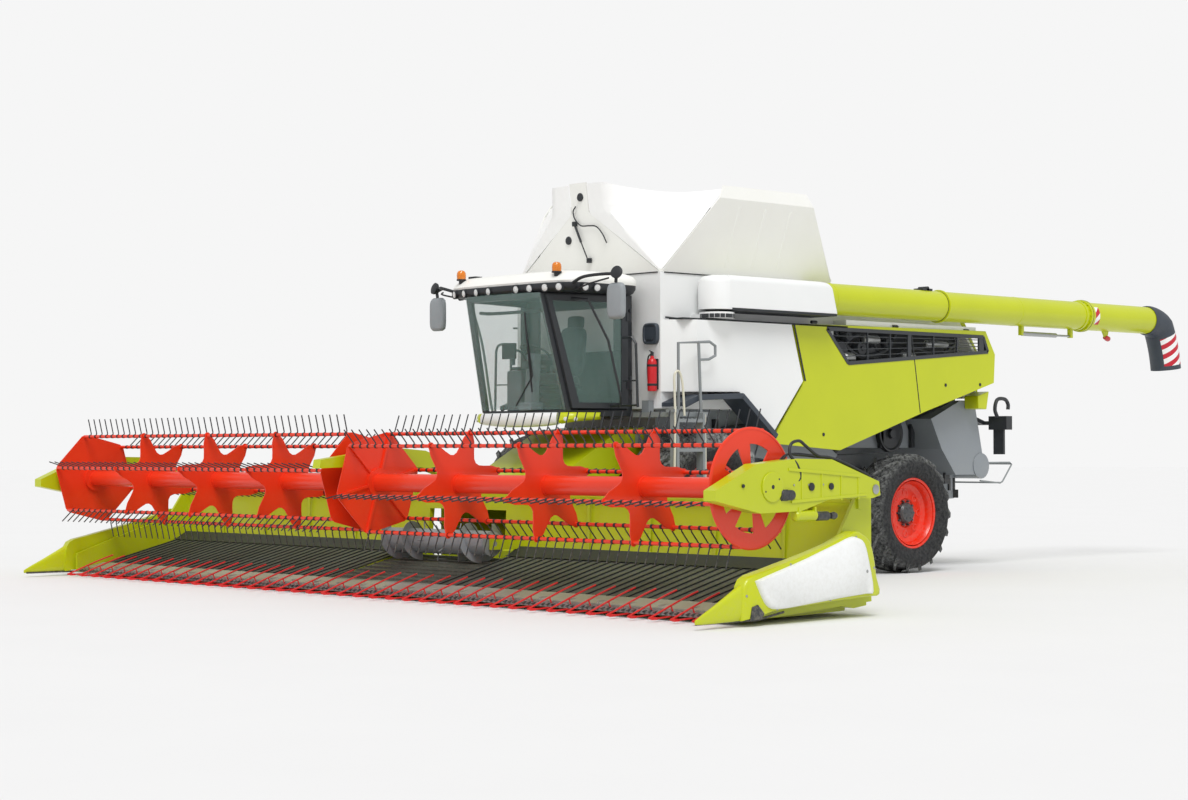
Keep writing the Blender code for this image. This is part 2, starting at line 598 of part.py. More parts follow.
side_outline = [(SEAM_Y, 1.79), (5.42, 1.92), (5.98, 2.60), (5.76, PANEL_HINGE_Z - 0.05), (9.92, PANEL_HINGE_Z - 0.01),
                (REAR_END_Y, 3.06), (10.11, 2.65), (8.51, 2.22), (6.69, 1.69)]
band = [(6.42, PANEL_HINGE_Z - 0.09), (6.86, 2.85), (9.98, 3.09), (9.86, PANEL_HINGE_Z - 0.09)]
grille_bars = []
for y in (7.35, 7.95, 8.55, 9.15):
    grille_bars.append(block((SIDE_X - 0.005, y, 2.80), (SIDE_X + 0.02, y + 0.05, PANEL_HINGE_Z - 0.03)))
both_sides("side_panel", "lime paint",
           [prism(side_outline, "x", SIDE_X - 0.01, SIDE_X + SHEET)], "side_panel_left", "side_panel_right",
           [prism(band, "x", SIDE_X - 0.1, SIDE_X + 0.1)])

DECK_X = 1.30
deck_profile = [(TANK_Y[1] + 0.004, 3.40), (TANK_Y[1] + 0.004, 3.90), (7.35, 3.86), (7.75, 3.62), (9.80, 3.52),
                (10.08, 3.10), (10.10, 2.46), (10.06, 2.46), (10.04, 3.08), (9.76, 3.40)]
piece("engine_deck", "white paint",
      [prism(deck_profile, "x", -DECK_X, DECK_X),
       block((-SIDE_X + 0.01 + SEAT_GAP, TANK_Y[1] + 0.004, PANEL_HINGE_Z - 0.03), (-DECK_X + 0.05, 9.74, PANEL_HINGE_Z + 0.04)),
       block((DECK_X - 0.05, TANK_Y[1] + 0.004, PANEL_HINGE_Z - 0.03), (SIDE_X - 0.01 - SEAT_GAP, 9.74, PANEL_HINGE_Z + 0.04)),
       block((-1.1, ENGINE_Y[0] + 0.1, 3.25 + SEAT_GAP), (1.1, ENGINE_Y[1] - 0.1, 3.55)),
       block((-1.20, 9.90, 2.43), (1.20, 10.07, 2.55))])

hood_profile = [(9.06, FLOOR_Z - 0.09 + 0.02), (9.30, 1.70), (9.62, 1.33), (10.33, 1.33), (10.07, 2.40), (9.75, 2.40)]
spreader = []
for x in (-0.62, 0.62):
    spreader.append(rod((x, 9.85, 0.98), (x, 9.85, 1.34), 0.36, 20))
    spreader.append(rod((x, 9.85, 0.93), (x, 9.85, 1.00), 0.12, 12))
piece("straw_hood", "grey panel", [prism(hood_profile, "x", -1.28, 1.28)] + spreader,
      cuts=[block((-RAIL_X - 0.004, 9.0, RAIL_Z[0] - 0.004), (RAIL_X + 0.004, RAIL_REAR_Y + 0.01, RAIL_Z[1] + SEAT_GAP)),
            block((-0.13, 9.0, 1.30), (0.13, 10.6, RAIL_Z[1] - 0.03))])

lamp_shapes = [pipe([(-1.30, 10.66, 2.08), (1.30, 10.66, 2.08)], 0.03, 8)]
for sign in (-1, 1):
    lamp_shapes.append(bar((sign * 1.0, 10.05, 2.256), (sign * 1.0, 10.66, 2.08), 0.05, 0.06, (1, 0, 0)))
    lamp_shapes.append(block((sign * 1.3 - 0.16, 10.60, 1.98), (sign * 1.3 + 0.16, 10.74, 2.18)))
    lamp_shapes.append(block((sign * 1.3 - 0.09, 10.62, 1.62), (sign * 1.3 + 0.09, 10.66, 2.00)))
hood_back = [(9.9, 1.33), (10.33 + SEAT_GAP, 1.33), (10.07 + SEAT_GAP, 2.40), (9.9, 2.40)]
piece("rear_light_bar", "black steel", lamp_shapes, cuts=[prism(hood_back, "x", -1.28, 1.28)])

# ---------------------------------------------------------------- cab


def cab_side_x(y):
    """The cab's flank at a station; it narrows towards the front."""
    return CAB_REAR_X - CAB_SIDE_SLOPE * (CAB_REAR_Y - y)


pillar_in = PILLAR / 2 * math.hypot(1, CAB_SIDE_SLOPE) + SEAT_GAP
foot_x = cab_side_x(CAB_FOOT_Y)
head_x = cab_side_x(CAB_HEAD_Y)
PLATE_Z = FLOOR_Z - 0.08
floor_plan = [(-foot_x + 0.02, CAB_FOOT_Y - 0.02), (foot_x - 0.02, CAB_FOOT_Y - 0.02), (CAB_REAR_X, CAB_REAR_Y),
              (CAB_REAR_X, CAB_REAR_Y + 0.10), (-CAB_REAR_X, CAB_REAR_Y + 0.10), (-CAB_REAR_X, CAB_REAR_Y)]
cab_shapes = [prism(floor_plan, "z", PLATE_Z, FLOOR_Z)]
top = CAB_TOP_Z
for sign in (-1, 1):
    pillar_foot = (sign * (cab_side_x(CAB_FOOT_Y + 0.02) - pillar_in), CAB_FOOT_Y + 0.02, FLOOR_Z - 0.02)
    pillar_head = (sign * (cab_side_x(CAB_HEAD_Y + 0.03) - pillar_in), CAB_HEAD_Y + 0.03, top - 0.01)
    cab_shapes.append(bar(pillar_foot, pillar_head, PILLAR, PILLAR, (-sign * CAB_SIDE_SLOPE, -1, 0)))
    cab_shapes.append(block((sign * CAB_REAR_X - 0.045 - sign * 0.045, CAB_REAR_Y + 0.005, FLOOR_Z - 0.01),
                            (sign * CAB_REAR_X + 0.045 - sign * 0.045, CAB_REAR_Y + 0.10, top)))
    cab_shapes.append(bar((sign * (head_x - 0.055), CAB_HEAD_Y + 0.01, top - 0.035),
                          (sign * (CAB_REAR_X - 0.055), CAB_REAR_Y + 0.05, top - 0.035), 0.06, 0.07, (1, 0, 0)))
cab_shapes.append(block((-head_x + 0.03, CAB_HEAD_Y, top - 0.07), (head_x - 0.03, CAB_HEAD_Y + 0.06, top)))
rear_wall = block((-CAB_REAR_X + 0.04, CAB_REAR_Y + 0.06, FLOOR_Z - 0.01), (CAB_REAR_X - 0.04, CAB_REAR_Y + 0.10, top))
cab_shapes.append(rear_wall)
cab_mounts = []
for sign in (-1, 1):
    cab_mounts.append(block((sign * 0.62 - 0.06, CAB_REAR_Y + 0.02, PLATE_Z - 0.03), (sign * 0.62 + 0.06, TANK_Y[0] - SEAT_GAP, TANK_FLOOR_Z + 0.10)))
rear_light = block((-0.70, CAB_REAR_Y, 2.95), (0.70, CAB_REAR_Y + 0.2, 3.50))
SEAT_X = 0.10
SEAT_Y = 2.98
wheel_mid = Vector((SEAT_X, SEAT_Y - 0.42, FLOOR_Z + 0.74))
wheel_axis = Vector((0, 0.45, 0.9)).normalized()
column = [bar((SEAT_X, SEAT_Y - 0.50, FLOOR_Z - 0.01), tuple(wheel_mid), 0.09, 0.12, (1, 0, 0)),
          rod(tuple(wheel_mid - wheel_axis * 0.012), tuple(wheel_mid + wheel_axis * 0.018), 0.20, 20)]


def grab_hoop(low):
    """Outer hoop beside the cab's rear edge, with a cross tube and a stop."""
    inner, outer = HOOP_X
    high = 3.10
    hoop = pipe([(inner, HOOP_Y, low), (inner - 0.002, HOOP_Y, high - 0.08), (inner + 0.06, HOOP_Y, high),
                 (outer - 0.10, HOOP_Y, high), (outer - 0.03, HOOP_Y, high - 0.08), (outer, HOOP_Y, low)], GRAB_TUBE, 6)
    tie = pipe([(inner, HOOP_Y, 2.56), (outer, HOOP_Y, 2.56)], 0.010, 6)
    foot = pipe([(inner - 0.02, HOOP_Y, low + 0.025), (outer, HOOP_Y, low + 0.025)], 0.014, 6)
    return [hoop, tie, foot]


def grab_stay(low, high, reach):
    """Long hand rail from the roof's edge down past the door; reach is how far out of the flank its ends stand."""
    top_x = cab_side_x(2.50) + reach
    foot_in = cab_side_x(3.04) + reach
    return [pipe([(top_x, 2.50, high), (1.08, 2.55, high - 0.025), (1.18, 2.80, 3.05),
                  (1.215, 2.98, low + 0.14), (1.17, 3.02, low + 0.04), (foot_in, 3.04, low + 0.03)], GRAB_TUBE, 6)]


for z in (2.45, 3.30):
    cab_shapes.append(rod((*DOOR_PIN, z + 0.1205), (*DOOR_PIN, z + 0.17), 0.016, 8))
    cab_shapes.append(block((CAB_REAR_X - 0.02, DOOR_PIN[1] - 0.006, z + 0.125), (DOOR_PIN[0] + 0.002, DOOR_PIN[1] + 0.012, z + 0.165)))
right_rails = [mirrored(shape) for shape in grab_hoop(FLOOR_Z - 0.06) + grab_stay(FLOOR_Z - 0.07, CAB_TOP_Z - 0.025, -0.06)]
right_rails.append(block((-HOOP_X[0] - 0.02, HOOP_Y - 0.02, FLOOR_Z - 0.06), (-0.90, HOOP_Y + 0.02, FLOOR_Z - 0.01)))
piece("cab_frame", "black plastic", cab_shapes + cab_mounts + column + right_rails, cuts=[rear_light])

roof_plan = [(-ROOF_X + 0.06, ROOF_Y[0]), (ROOF_X - 0.06, ROOF_Y[0]), (ROOF_X, ROOF_Y[0] + 0.08), (ROOF_X, ROOF_Y[1]),
             (-ROOF_X, ROOF_Y[1]), (-ROOF_X, ROOF_Y[0] + 0.08)]
ROOF_SPLIT_Z = 3.80
roof_rings = []
for z, shrink, shift in ((ROOF_Z[0], 0.06, 0.10), (ROOF_Z[0] + 0.05, 0.0, 0.0), (ROOF_SPLIT_Z, 0.0, 0.02), (ROOF_Z[1], 0.14, 0.20)):
    roof_rings.append([(x * (1 - shrink), y + (shift if y < 3 else -shrink), z) for x, y in roof_plan])
roof_shapes = [skin(roof_rings)]
MIRRORS = ((1.87, 2.26), (-1.65, 2.42))
for x, y in MIRRORS:
    sign = math.copysign(1, x)
    roof_shapes.append(pipe([(sign * 1.10, 2.30, 3.74), (x - sign * 0.06, y, 3.80), (x, y, 3.74), (x, y, 3.30)], 0.02, 6))
    roof_shapes.append(block((x - 0.14, y - 0.03, 3.26), (x + 0.14, y + 0.045, 3.70)))
piece("cab_roof", "white paint", roof_shapes)

SCREEN_STEPS = 8


def screen_ring(half, y, z, thick):
    """One level of the curved windscreen."""
    front = []
    back = []
    for k in range(SCREEN_STEPS + 1):
        share = 2 * k / SCREEN_STEPS - 1
        depth = y - SCREEN_BULGE * (1 - share * share)
        front.append((share * half, depth - thick, z))
        back.append((share * half, depth, z))
    return front + back[::-1]


screen_back = 0.0088
piece("windscreen", "tinted glass",
      [skin([screen_ring(foot_x - 0.01, CAB_FOOT_Y - 0.02 - screen_back, FLOOR_Z + 0.005, GLASS),
             screen_ring(head_x - 0.01, CAB_HEAD_Y - 0.01 - screen_back, CAB_TOP_Z - 0.005, GLASS)])], smooth=True)


def flank(y_low, y_high, z_low, z_high, inner, outer, rear=None):
    """A slab in the cab's flank plane, its front edge leaning with the windscreen."""
    rings = []
    for off in (inner, outer):
        ring = []
        for y, z in ((y_low, z_low), (rear or CAB_REAR_Y, z_low), (rear or CAB_REAR_Y, z_high), (y_high, z_high)):
            ring.append((cab_side_x(y) + off, y, z))
        rings.append(ring)
    return skin(rings)


window_y = (CAB_FOOT_Y + 0.035, CAB_HEAD_Y + 0.035)
right_glass = mirrored(flank(window_y[0], window_y[1], FLOOR_Z + 0.03, CAB_TOP_Z - 0.06, 0.0, GLASS, CAB_REAR_Y - 0.005))
piece("right_window", "tinted glass", [right_glass])

door_in, door_out = 0.0055, 0.0055 + DOOR_T
door_y = (CAB_FOOT_Y + 0.03, CAB_HEAD_Y + 0.04)
DOOR_Z = (FLOOR_Z + 0.02, CAB_TOP_Z - 0.03)
door_slab = flank(door_y[0], door_y[1], *DOOR_Z, door_in, door_out, CAB_REAR_Y - 0.01)
door_hole = flank(door_y[0] + 0.09, door_y[1] + 0.075, DOOR_Z[0] + 0.07, DOOR_Z[1] - 0.07, -0.05, 0.12, CAB_REAR_Y - 0.10)
knuckles = []
for z in (2.45, 3.30):
    knuckles.append(rod((*DOOR_PIN, z), (*DOOR_PIN, z + 0.12), 0.016, 8))
    knuckles.append(block((DOOR_PIN[0] - 0.028, CAB_REAR_Y - 0.04, z + 0.01), (DOOR_PIN[0] + 0.002, DOOR_PIN[1], z + 0.11)))
piece("cab_door", "black plastic", [door_slab] + knuckles + grab_hoop(FLOOR_Z + 0.03) + grab_stay(FLOOR_Z + 0.02, CAB_TOP_Z - 0.065, 0.02),
      "cab_door", [door_hole])
pane_mid = (door_in + door_out) / 2
glass_gap = SEAT_GAP
pane = flank(door_y[0] + 0.09 + glass_gap, door_y[1] + 0.075 + glass_gap, DOOR_Z[0] + 0.07 + glass_gap,
             DOOR_Z[1] - 0.07 - glass_gap, pane_mid - GLASS / 2, pane_mid + GLASS / 2, CAB_REAR_Y - 0.10 - glass_gap)
piece("door_glass", "tinted glass", [pane], "cab_door")

BUMPER_PLAN = [(0.0, 2.30), (0.45, 2.34), (0.74, 2.42), (0.86, 2.52), (0.91, 2.66), (0.955, 2.86)]
bumper_rings = []
for x, y in [(-x, y) for x, y in BUMPER_PLAN[:0:-1]] + BUMPER_PLAN:
    away = abs(x) / BUMPER_PLAN[-1][0]
    low = 1.99 + 0.09 * away ** 3
    out_x = x + math.copysign(0.05 * away, x)
    bumper_rings.append([(out_x, y - 0.05, low + 0.03), (out_x, y - 0.03, PLATE_Z + 0.05), (x * 0.93, y + 0.09, PLATE_Z + 0.05),
                         (x * 0.93, y + 0.09, low)])
bumper_stays = [block((sign * 0.5 - 0.05, 2.38, 2.02), (sign * 0.5 + 0.05, 2.75, PLATE_Z - SEAT_GAP)) for sign in (-1, 1)]
piece("cab_bumper", "white paint", [skin(bumper_rings)] + bumper_stays,
      cuts=[prism([(x * 1.02, y - 0.004) for x, y in floor_plan], "z", PLATE_Z - 0.0002, FLOOR_Z + 0.1)])

seat_shapes = [block((SEAT_X - 0.20, SEAT_Y - 0.18, FLOOR_Z + SEAT_GAP), (SEAT_X + 0.20, SEAT_Y + 0.16, FLOOR_Z + 0.32)),
               block((SEAT_X - 0.26, SEAT_Y - 0.30, FLOOR_Z + 0.30), (SEAT_X + 0.26, SEAT_Y + 0.20, FLOOR_Z + 0.46)),
               skin([[(SEAT_X - 0.25, SEAT_Y + 0.10, FLOOR_Z + 0.42), (SEAT_X + 0.25, SEAT_Y + 0.10, FLOOR_Z + 0.42),
                      (SEAT_X + 0.25, SEAT_Y + 0.23, FLOOR_Z + 0.42), (SEAT_X - 0.25, SEAT_Y + 0.23, FLOOR_Z + 0.42)],
                     [(SEAT_X - 0.20, SEAT_Y + 0.22, FLOOR_Z + 1.15), (SEAT_X + 0.20, SEAT_Y + 0.22, FLOOR_Z + 1.15),
                      (SEAT_X + 0.20, SEAT_Y + 0.31, FLOOR_Z + 1.15), (SEAT_X - 0.20, SEAT_Y + 0.31, FLOOR_Z + 1.15)]]),
               block((SEAT_X - 0.42, SEAT_Y - 0.26, FLOOR_Z + 0.58), (SEAT_X - 0.30, SEAT_Y + 0.18, FLOOR_Z + 0.68)),
               block((SEAT_X - 0.40, SEAT_Y + 0.02, FLOOR_Z + 0.34), (SEAT_X - 0.19, SEAT_Y + 0.12, FLOOR_Z + 0.60))]
piece("driver_seat", "seat cloth", seat_shapes)
# ---------------------------------------------------------------- platform, rails and ladder
deck_plan = [(CAB_REAR_X + 0.06, CAB_REAR_Y + 0.05), (PLATFORM_OUT_X, CAB_REAR_Y - 0.05), (PLATFORM_OUT_X, 3.94),
             (panel_x[1] + 0.02, 3.86), (TANK_X + 0.03, TANK_Y[0] - 0.02), (CAB_REAR_X + 0.06, TANK_Y[0] - 0.02)]
RAIL_TUBE = 0.019
far_rail = pipe([(1.76, 3.44, FLOOR_Z - 0.05), (1.76, 3.44, 3.02), (1.76, 4.00, 3.05), (1.76, 4.10, 3.00), (1.76, 4.10, 2.88),
                 (1.76, 3.98, 2.83), (1.76, 3.80, 2.82)], RAIL_TUBE, 6)
far_post = pipe([(1.76, 3.80, 3.035), (1.76, 3.84, FLOOR_Z - 0.05)], RAIL_TUBE, 6)
deck_stay = block((CAB_REAR_X + 0.10, 3.46, PLATE_Z - 0.02), (CAB_REAR_X + 0.22, TANK_Y[0] - SEAT_GAP, TANK_FLOOR_Z + 0.10))
ladder_ear = block((PLATFORM_OUT_X - 0.05, LADDER_PIN[1] - 0.035, LADDER_TOP_Z + SEAT_GAP), (LADDER_PIN[0] + 0.04, LADDER_PIN[1] + 0.035, FLOOR_Z))
ear_hole = rod((*LADDER_PIN, FLOOR_Z - 0.1), (*LADDER_PIN, FLOOR_Z + 0.05), bore_r(LADDER_PIN_R), PIN_SIDES)
piece("platform", "rail steel", [prism(deck_plan, "z", FLOOR_Z - 0.09, FLOOR_Z - 0.03), far_rail, far_post, deck_stay, ladder_ear],
      cuts=[ear_hole])

LADDER_Y = (3.24, 3.74)
LADDER_X = (PLATFORM_OUT_X + 0.012, PLATFORM_OUT_X + 0.13)
ladder_shapes = []
for y in (LADDER_Y[0], LADDER_Y[1] - 0.04):
    ladder_shapes.append(block((LADDER_X[0], y, 0.55), (LADDER_X[1], y + 0.04, LADDER_TOP_Z)))
for k in range(5):
    z = 0.60 + k * 0.36
    ladder_shapes.append(block((LADDER_X[0] + 0.004, LADDER_Y[0] + 0.01, z), (LADDER_X[1] - 0.004, LADDER_Y[1] - 0.01, z + 0.04)))
ladder_shapes.append(rod((*LADDER_PIN, LADDER_TOP_Z - 0.05), (*LADDER_PIN, FLOOR_Z + 0.01), LADDER_PIN_R, PIN_SIDES))
piece("ladder", "rail steel", ladder_shapes, "ladder")

# ---------------------------------------------------------------- unloading auger
shroud_x = (AUGER_X - AUGER_ELBOW_R + 0.003, AUGER_X + AUGER_ELBOW_R)
shroud_z = (AUGER_Z - AUGER_ELBOW_R, AUGER_Z + 0.205)
piece("auger_tube", "lime paint",
      [rod((AUGER_X, AUGER_PIVOT_Y, AUGER_Z), (AUGER_X, AUGER_FOLD_Y - 0.02, AUGER_Z), AUGER_R, 24),
       rod((AUGER_X, AUGER_PIVOT_Y, collar_z[1] + SEAT_GAP), (AUGER_X, AUGER_PIVOT_Y, shroud_z[1]), AUGER_ELBOW_R, 24),
       skin([[(shroud_x[0], AUGER_PIVOT_Y, shroud_z[0] + 0.02), (shroud_x[1], AUGER_PIVOT_Y, shroud_z[0] + 0.02),
              (shroud_x[1], AUGER_PIVOT_Y, shroud_z[1] - 0.07), (shroud_x[1] - 0.08, AUGER_PIVOT_Y, shroud_z[1] - 0.002),
              (shroud_x[0] + 0.08, AUGER_PIVOT_Y, shroud_z[1] - 0.002), (shroud_x[0], AUGER_PIVOT_Y, shroud_z[1] - 0.07)],
             [(shroud_x[0], SHROUD_END_Y, shroud_z[0] + 0.02), (shroud_x[1], SHROUD_END_Y, shroud_z[0] + 0.02),
              (shroud_x[1], SHROUD_END_Y - 0.1, shroud_z[1] - 0.07), (shroud_x[1] - 0.08, SHROUD_END_Y - 0.14, shroud_z[1] - 0.002),
              (shroud_x[0] + 0.08, SHROUD_END_Y - 0.14, shroud_z[1] - 0.002), (shroud_x[0], SHROUD_END_Y - 0.1, shroud_z[1] - 0.07)]]),
       rod((AUGER_X, 8.80, AUGER_Z), (AUGER_X, 8.84, AUGER_Z), AUGER_R + 0.025, 24),
       rod((AUGER_X, AUGER_FOLD_Y - 0.05, AUGER_Z), (AUGER_X, AUGER_FOLD_Y - RUN_GAP / 2, AUGER_Z), AUGER_R + 0.03, 24),
       rod((FOLD_PIN_X, AUGER_FOLD_Y, AUGER_Z - FOLD_BOSS_H), (FOLD_PIN_X, AUGER_FOLD_Y, AUGER_Z + FOLD_BOSS_H), FOLD_BOSS_R, 12),
       block((FOLD_PIN_X - 0.02, AUGER_FOLD_Y - 0.05, AUGER_Z - FOLD_BOSS_H + 0.002),
             (AUGER_X - AUGER_R, AUGER_FOLD_Y - RUN_GAP / 2, AUGER_Z + FOLD_BOSS_H - 0.002)),
       rod((AUGER_X, 10.7, AUGER_Z - AUGER_R - 0.03), (AUGER_X, 12.0, AUGER_Z - AUGER_R - 0.03), 0.035, 8)], "auger", smooth=True)
spout_route = []
for share in (0.0, 0.2, 0.4, 0.6, 0.8, 1.0):
    angle = math.radians(78) * share
    y = AUGER_TIP_Y - 0.16 + 0.6046 * math.sin(angle)
    z = AUGER_Z - 0.42 * (1 - math.cos(angle)) - 0.70 * max(0, share - 0.5) * 1.2
    spout_route.append(Vector((AUGER_X, y, z)))
drop = (spout_route[-1] - spout_route[-2]).normalized() * 0.1
bore_route = spout_route[2:] + [spout_route[-1] + drop]
tip_lugs = []
for low in (-FOLD_BOSS_H - 0.0405, FOLD_BOSS_H + 0.0005):
    tip_lugs.append(rod((FOLD_PIN_X, AUGER_FOLD_Y, AUGER_Z + low), (FOLD_PIN_X, AUGER_FOLD_Y, AUGER_Z + low + 0.04), FOLD_BOSS_R, 12))
    tip_lugs.append(block((FOLD_PIN_X - 0.02, AUGER_FOLD_Y + RUN_GAP / 2, AUGER_Z + low + 0.002),
                          (AUGER_X - AUGER_R, AUGER_FOLD_Y + 0.05, AUGER_Z + low + 0.038)))
piece("auger_tip", "lime paint",
      [rod((AUGER_X, AUGER_FOLD_Y + RUN_GAP / 2, AUGER_Z), (AUGER_X, AUGER_TIP_Y, AUGER_Z), AUGER_R, 24),
       rod((AUGER_X, AUGER_FOLD_Y + RUN_GAP / 2, AUGER_Z), (AUGER_X, AUGER_FOLD_Y + 0.05, AUGER_Z), AUGER_R + 0.03, 24)] + tip_lugs,
      "auger_tip", smooth=True)
piece("auger_spout", "dark panel", [pipe(spout_route, SPOUT_R, 16)], "auger_tip",
      [pipe(bore_route, SPOUT_R - 0.018, 16), rod((AUGER_X, AUGER_TIP_Y - 0.5, AUGER_Z), (AUGER_X, AUGER_TIP_Y + SEAT_GAP, AUGER_Z), AUGER_R + SEAT_GAP, 24)],
      smooth=True)

# ---------------------------------------------------------------- feeder house and its lift
feeder_outer = [(HEADER_REAR_Y + SEAT_GAP, 0.30), (HEADER_REAR_Y + SEAT_GAP, 1.06), (3.36, 1.94), (3.80, 1.99), (3.90, 1.86),
                (3.72, 1.52), (3.40, 1.40)]
feeder_inner = [(HEADER_REAR_Y - 0.2, 0.36), (HEADER_REAR_Y - 0.2, 0.90), (3.30, 1.84), (3.60, 1.88), (3.60, 1.62), (3.36, 1.50)]
eye_z = LIFT_EYE[1]
eye_ears = []
for x in (-LIFT_X, LIFT_X):
    for near in (-0.10, 0.07):
        eye_ears.append(prism([(LIFT_EYE[0] - 0.07, eye_z - 0.05), (LIFT_EYE[0] + 0.07, eye_z - 0.05),
                               (LIFT_EYE[0] + 0.22, eye_z + 0.42), (LIFT_EYE[0] - 0.16, eye_z + 0.18)], "x", x + near, x + near + 0.03))
piece("feeder_house", "lime paint",
      [prism(feeder_outer, "x", -FEEDER_X, FEEDER_X),
       rod((-BODY_X, *FEEDER_PIVOT), (BODY_X, *FEEDER_PIVOT), FEEDER_PIN_R, PIN_SIDES)] + eye_ears, "header",
      [prism(feeder_inner, "x", -FEEDER_X + 0.05, FEEDER_X - 0.05),
       rod((-LIFT_X - 0.2, *LIFT_EYE), (LIFT_X + 0.2, *LIFT_EYE), EYE_PIN_R + EYE_PLAY, 12)])

lift_line = Vector((0, LIFT_EYE[0] - LIFT_FOOT[0], LIFT_EYE[1] - LIFT_FOOT[1]))
lift_length = lift_line.length
lift_way = lift_line.normalized()
foot = Vector((0, *LIFT_FOOT))
BARREL_LENGTH = lift_length - 0.22
barrel_shapes = [rod((-LIFT_X - 0.07, *LIFT_FOOT), (LIFT_X + 0.07, *LIFT_FOOT), LIFT_PIN_R, PIN_SIDES)]
barrel_cuts = []
rod_shapes = [rod((-LIFT_X - 0.06, *LIFT_EYE), (LIFT_X + 0.06, *LIFT_EYE), EYE_PIN_R, 10)]
for x in (-LIFT_X, LIFT_X):
    shift = Vector((x, 0, 0))
    barrel_shapes.append(rod(foot + shift - lift_way * 0.05, foot + shift + lift_way * BARREL_LENGTH, BARREL_R, 16))
    barrel_cuts.append(rod(foot + shift + lift_way * 0.20, foot + shift + lift_way * (BARREL_LENGTH + 0.1), ROD_R + 0.0006, 16))
    rod_shapes.append(rod(foot + shift + lift_way * 0.24, foot + shift + lift_way * (lift_length + 0.03), ROD_R, 16))
piece("lift_barrels", "black steel", barrel_shapes, "lift_barrels", barrel_cuts)
piece("lift_rods", "bare steel", rod_shapes, "lift_rods")

# ---------------------------------------------------------------- header
table = [(KNIFE_Y, KNIFE_Z - 0.035), (KNIFE_Y, KNIFE_Z), (BELT_FRONT[0], BELT_FRONT[1] - SEAT_GAP),
         (BELT_REAR[0], BELT_REAR[1] - SEAT_GAP), (BACK_WALL_Y - 0.10, BELT_REAR[1] + 0.01), (BACK_WALL_Y, 0.52),
         (BACK_WALL_Y + 0.05, HEADER_TOP_Z), (HEADER_REAR_Y, HEADER_TOP_Z), (HEADER_REAR_Y, HEADER_TOP_Z - 0.16),
         (BACK_WALL_Y + 0.11, HEADER_TOP_Z - 0.20), (BACK_WALL_Y + 0.06, 0.45), (HEADER_REAR_Y - 0.06, 0.30),
         (HEADER_REAR_Y - 0.06, 0.10), (1.50, 0.08), (0.9, 0.17), (0.25, 0.05)]
end_plate = [(KNIFE_Y - 0.10, 0.06), (KNIFE_Y - 0.10, 0.30), (0.4, 0.52), (1.20, 0.76), (BACK_WALL_Y + 0.02, HEADER_TOP_Z + 0.02),
             (HEADER_REAR_Y, HEADER_TOP_Z + 0.02), (HEADER_REAR_Y, 0.14), (0.3, 0.055)]
mouth = block((-FEED_MOUTH_X, BACK_WALL_Y - 0.2, FEED_MOUTH_Z[0]), (FEED_MOUTH_X, HEADER_REAR_Y + 0.1, FEED_MOUTH_Z[1]))
header_shapes = [prism(table, "x", -HEADER_X - 0.02, HEADER_X + 0.02)]
for sign in (-1, 1):
    near, far = sorted((sign * HEADER_X, sign * (HEADER_X + 0.04)))
    header_shapes.append(prism(end_plate, "x", near, far))
    near, far = sorted((sign * (HEADER_X + 0.03), sign * (ARM_X[0] - RUN_GAP)))
    header_shapes.append(block((near, ARM_PIVOT[0] - 0.07, ARM_PIVOT[1] - 0.20), (far, ARM_PIVOT[0] + 0.09, ARM_PIVOT[1] + 0.07)))
for near, far in ((MID_ARM_X[0] - RUN_GAP - 0.03, MID_ARM_X[0] - RUN_GAP), (MID_ARM_X[1] + RUN_GAP, MID_ARM_X[1] + RUN_GAP + 0.03)):
    header_shapes.append(block((near, ARM_PIVOT[0] - 0.05, HEADER_TOP_Z - 0.05), (far, ARM_PIVOT[0] + 0.09, ARM_PIVOT[1] + 0.07)))
rib_outline = [(0.25, 0.06), (0.9, 0.18), (1.50, 0.09), (1.50, 0.05), (0.8, 0.035), (0.3, 0.035)]
for k in range(-4, 5):
    header_shapes.append(prism(rib_outline, "x", k * 1.5 - 0.03, k * 1.5 + 0.03))
well_x = BELT_IN_X - 0.012
well = prism([(BELT_FRONT[0] + 0.06, BELT_FRONT[1] + 0.1), (BELT_FRONT[0] + 0.06, BELT_FRONT[1] - 0.025),
              (BELT_REAR[0], BELT_REAR[1] - WELL_DEPTH), (BACK_WALL_Y - 0.03, FEED_MOUTH_Z[0] - 0.02), (BACK_WALL_Y - 0.03, BELT_REAR[1] + 0.1)],
             "x", -well_x, well_x)
for sign in (-1, 1):
    near, far = sorted((sign * (DRUM_HALF + RUN_GAP), sign * (DRUM_HALF + RUN_GAP + 0.04)))
    header_shapes.append(block((near, DRUM_AXIS[0] - 0.06, DRUM_AXIS[1] - 0.07), (far, BACK_WALL_Y + 0.03, DRUM_AXIS[1] + 0.07)))
drum_hole = rod((-BELT_IN_X - 0.1, *DRUM_AXIS), (BELT_IN_X + 0.1, *DRUM_AXIS), bore_r(DRUM_PIN_R), PIN_SIDES)
pin_holes = [rod((MID_ARM_X[0] - 0.2, *ARM_PIVOT), (MID_ARM_X[1] + 0.2, *ARM_PIVOT), bore_r(MID_ARM_PIN_R), PIN_SIDES)]
for sign in (-1, 1):
    pin_holes.append(rod((sign * (ARM_X[0] - 0.05), *ARM_PIVOT), (sign * (ARM_X[0] + 0.02), *ARM_PIVOT), bore_r(ARM_PIN_R), PIN_SIDES))
piece("header_frame", "lime paint", header_shapes, "header", [mouth, well, drum_hole] + pin_holes)

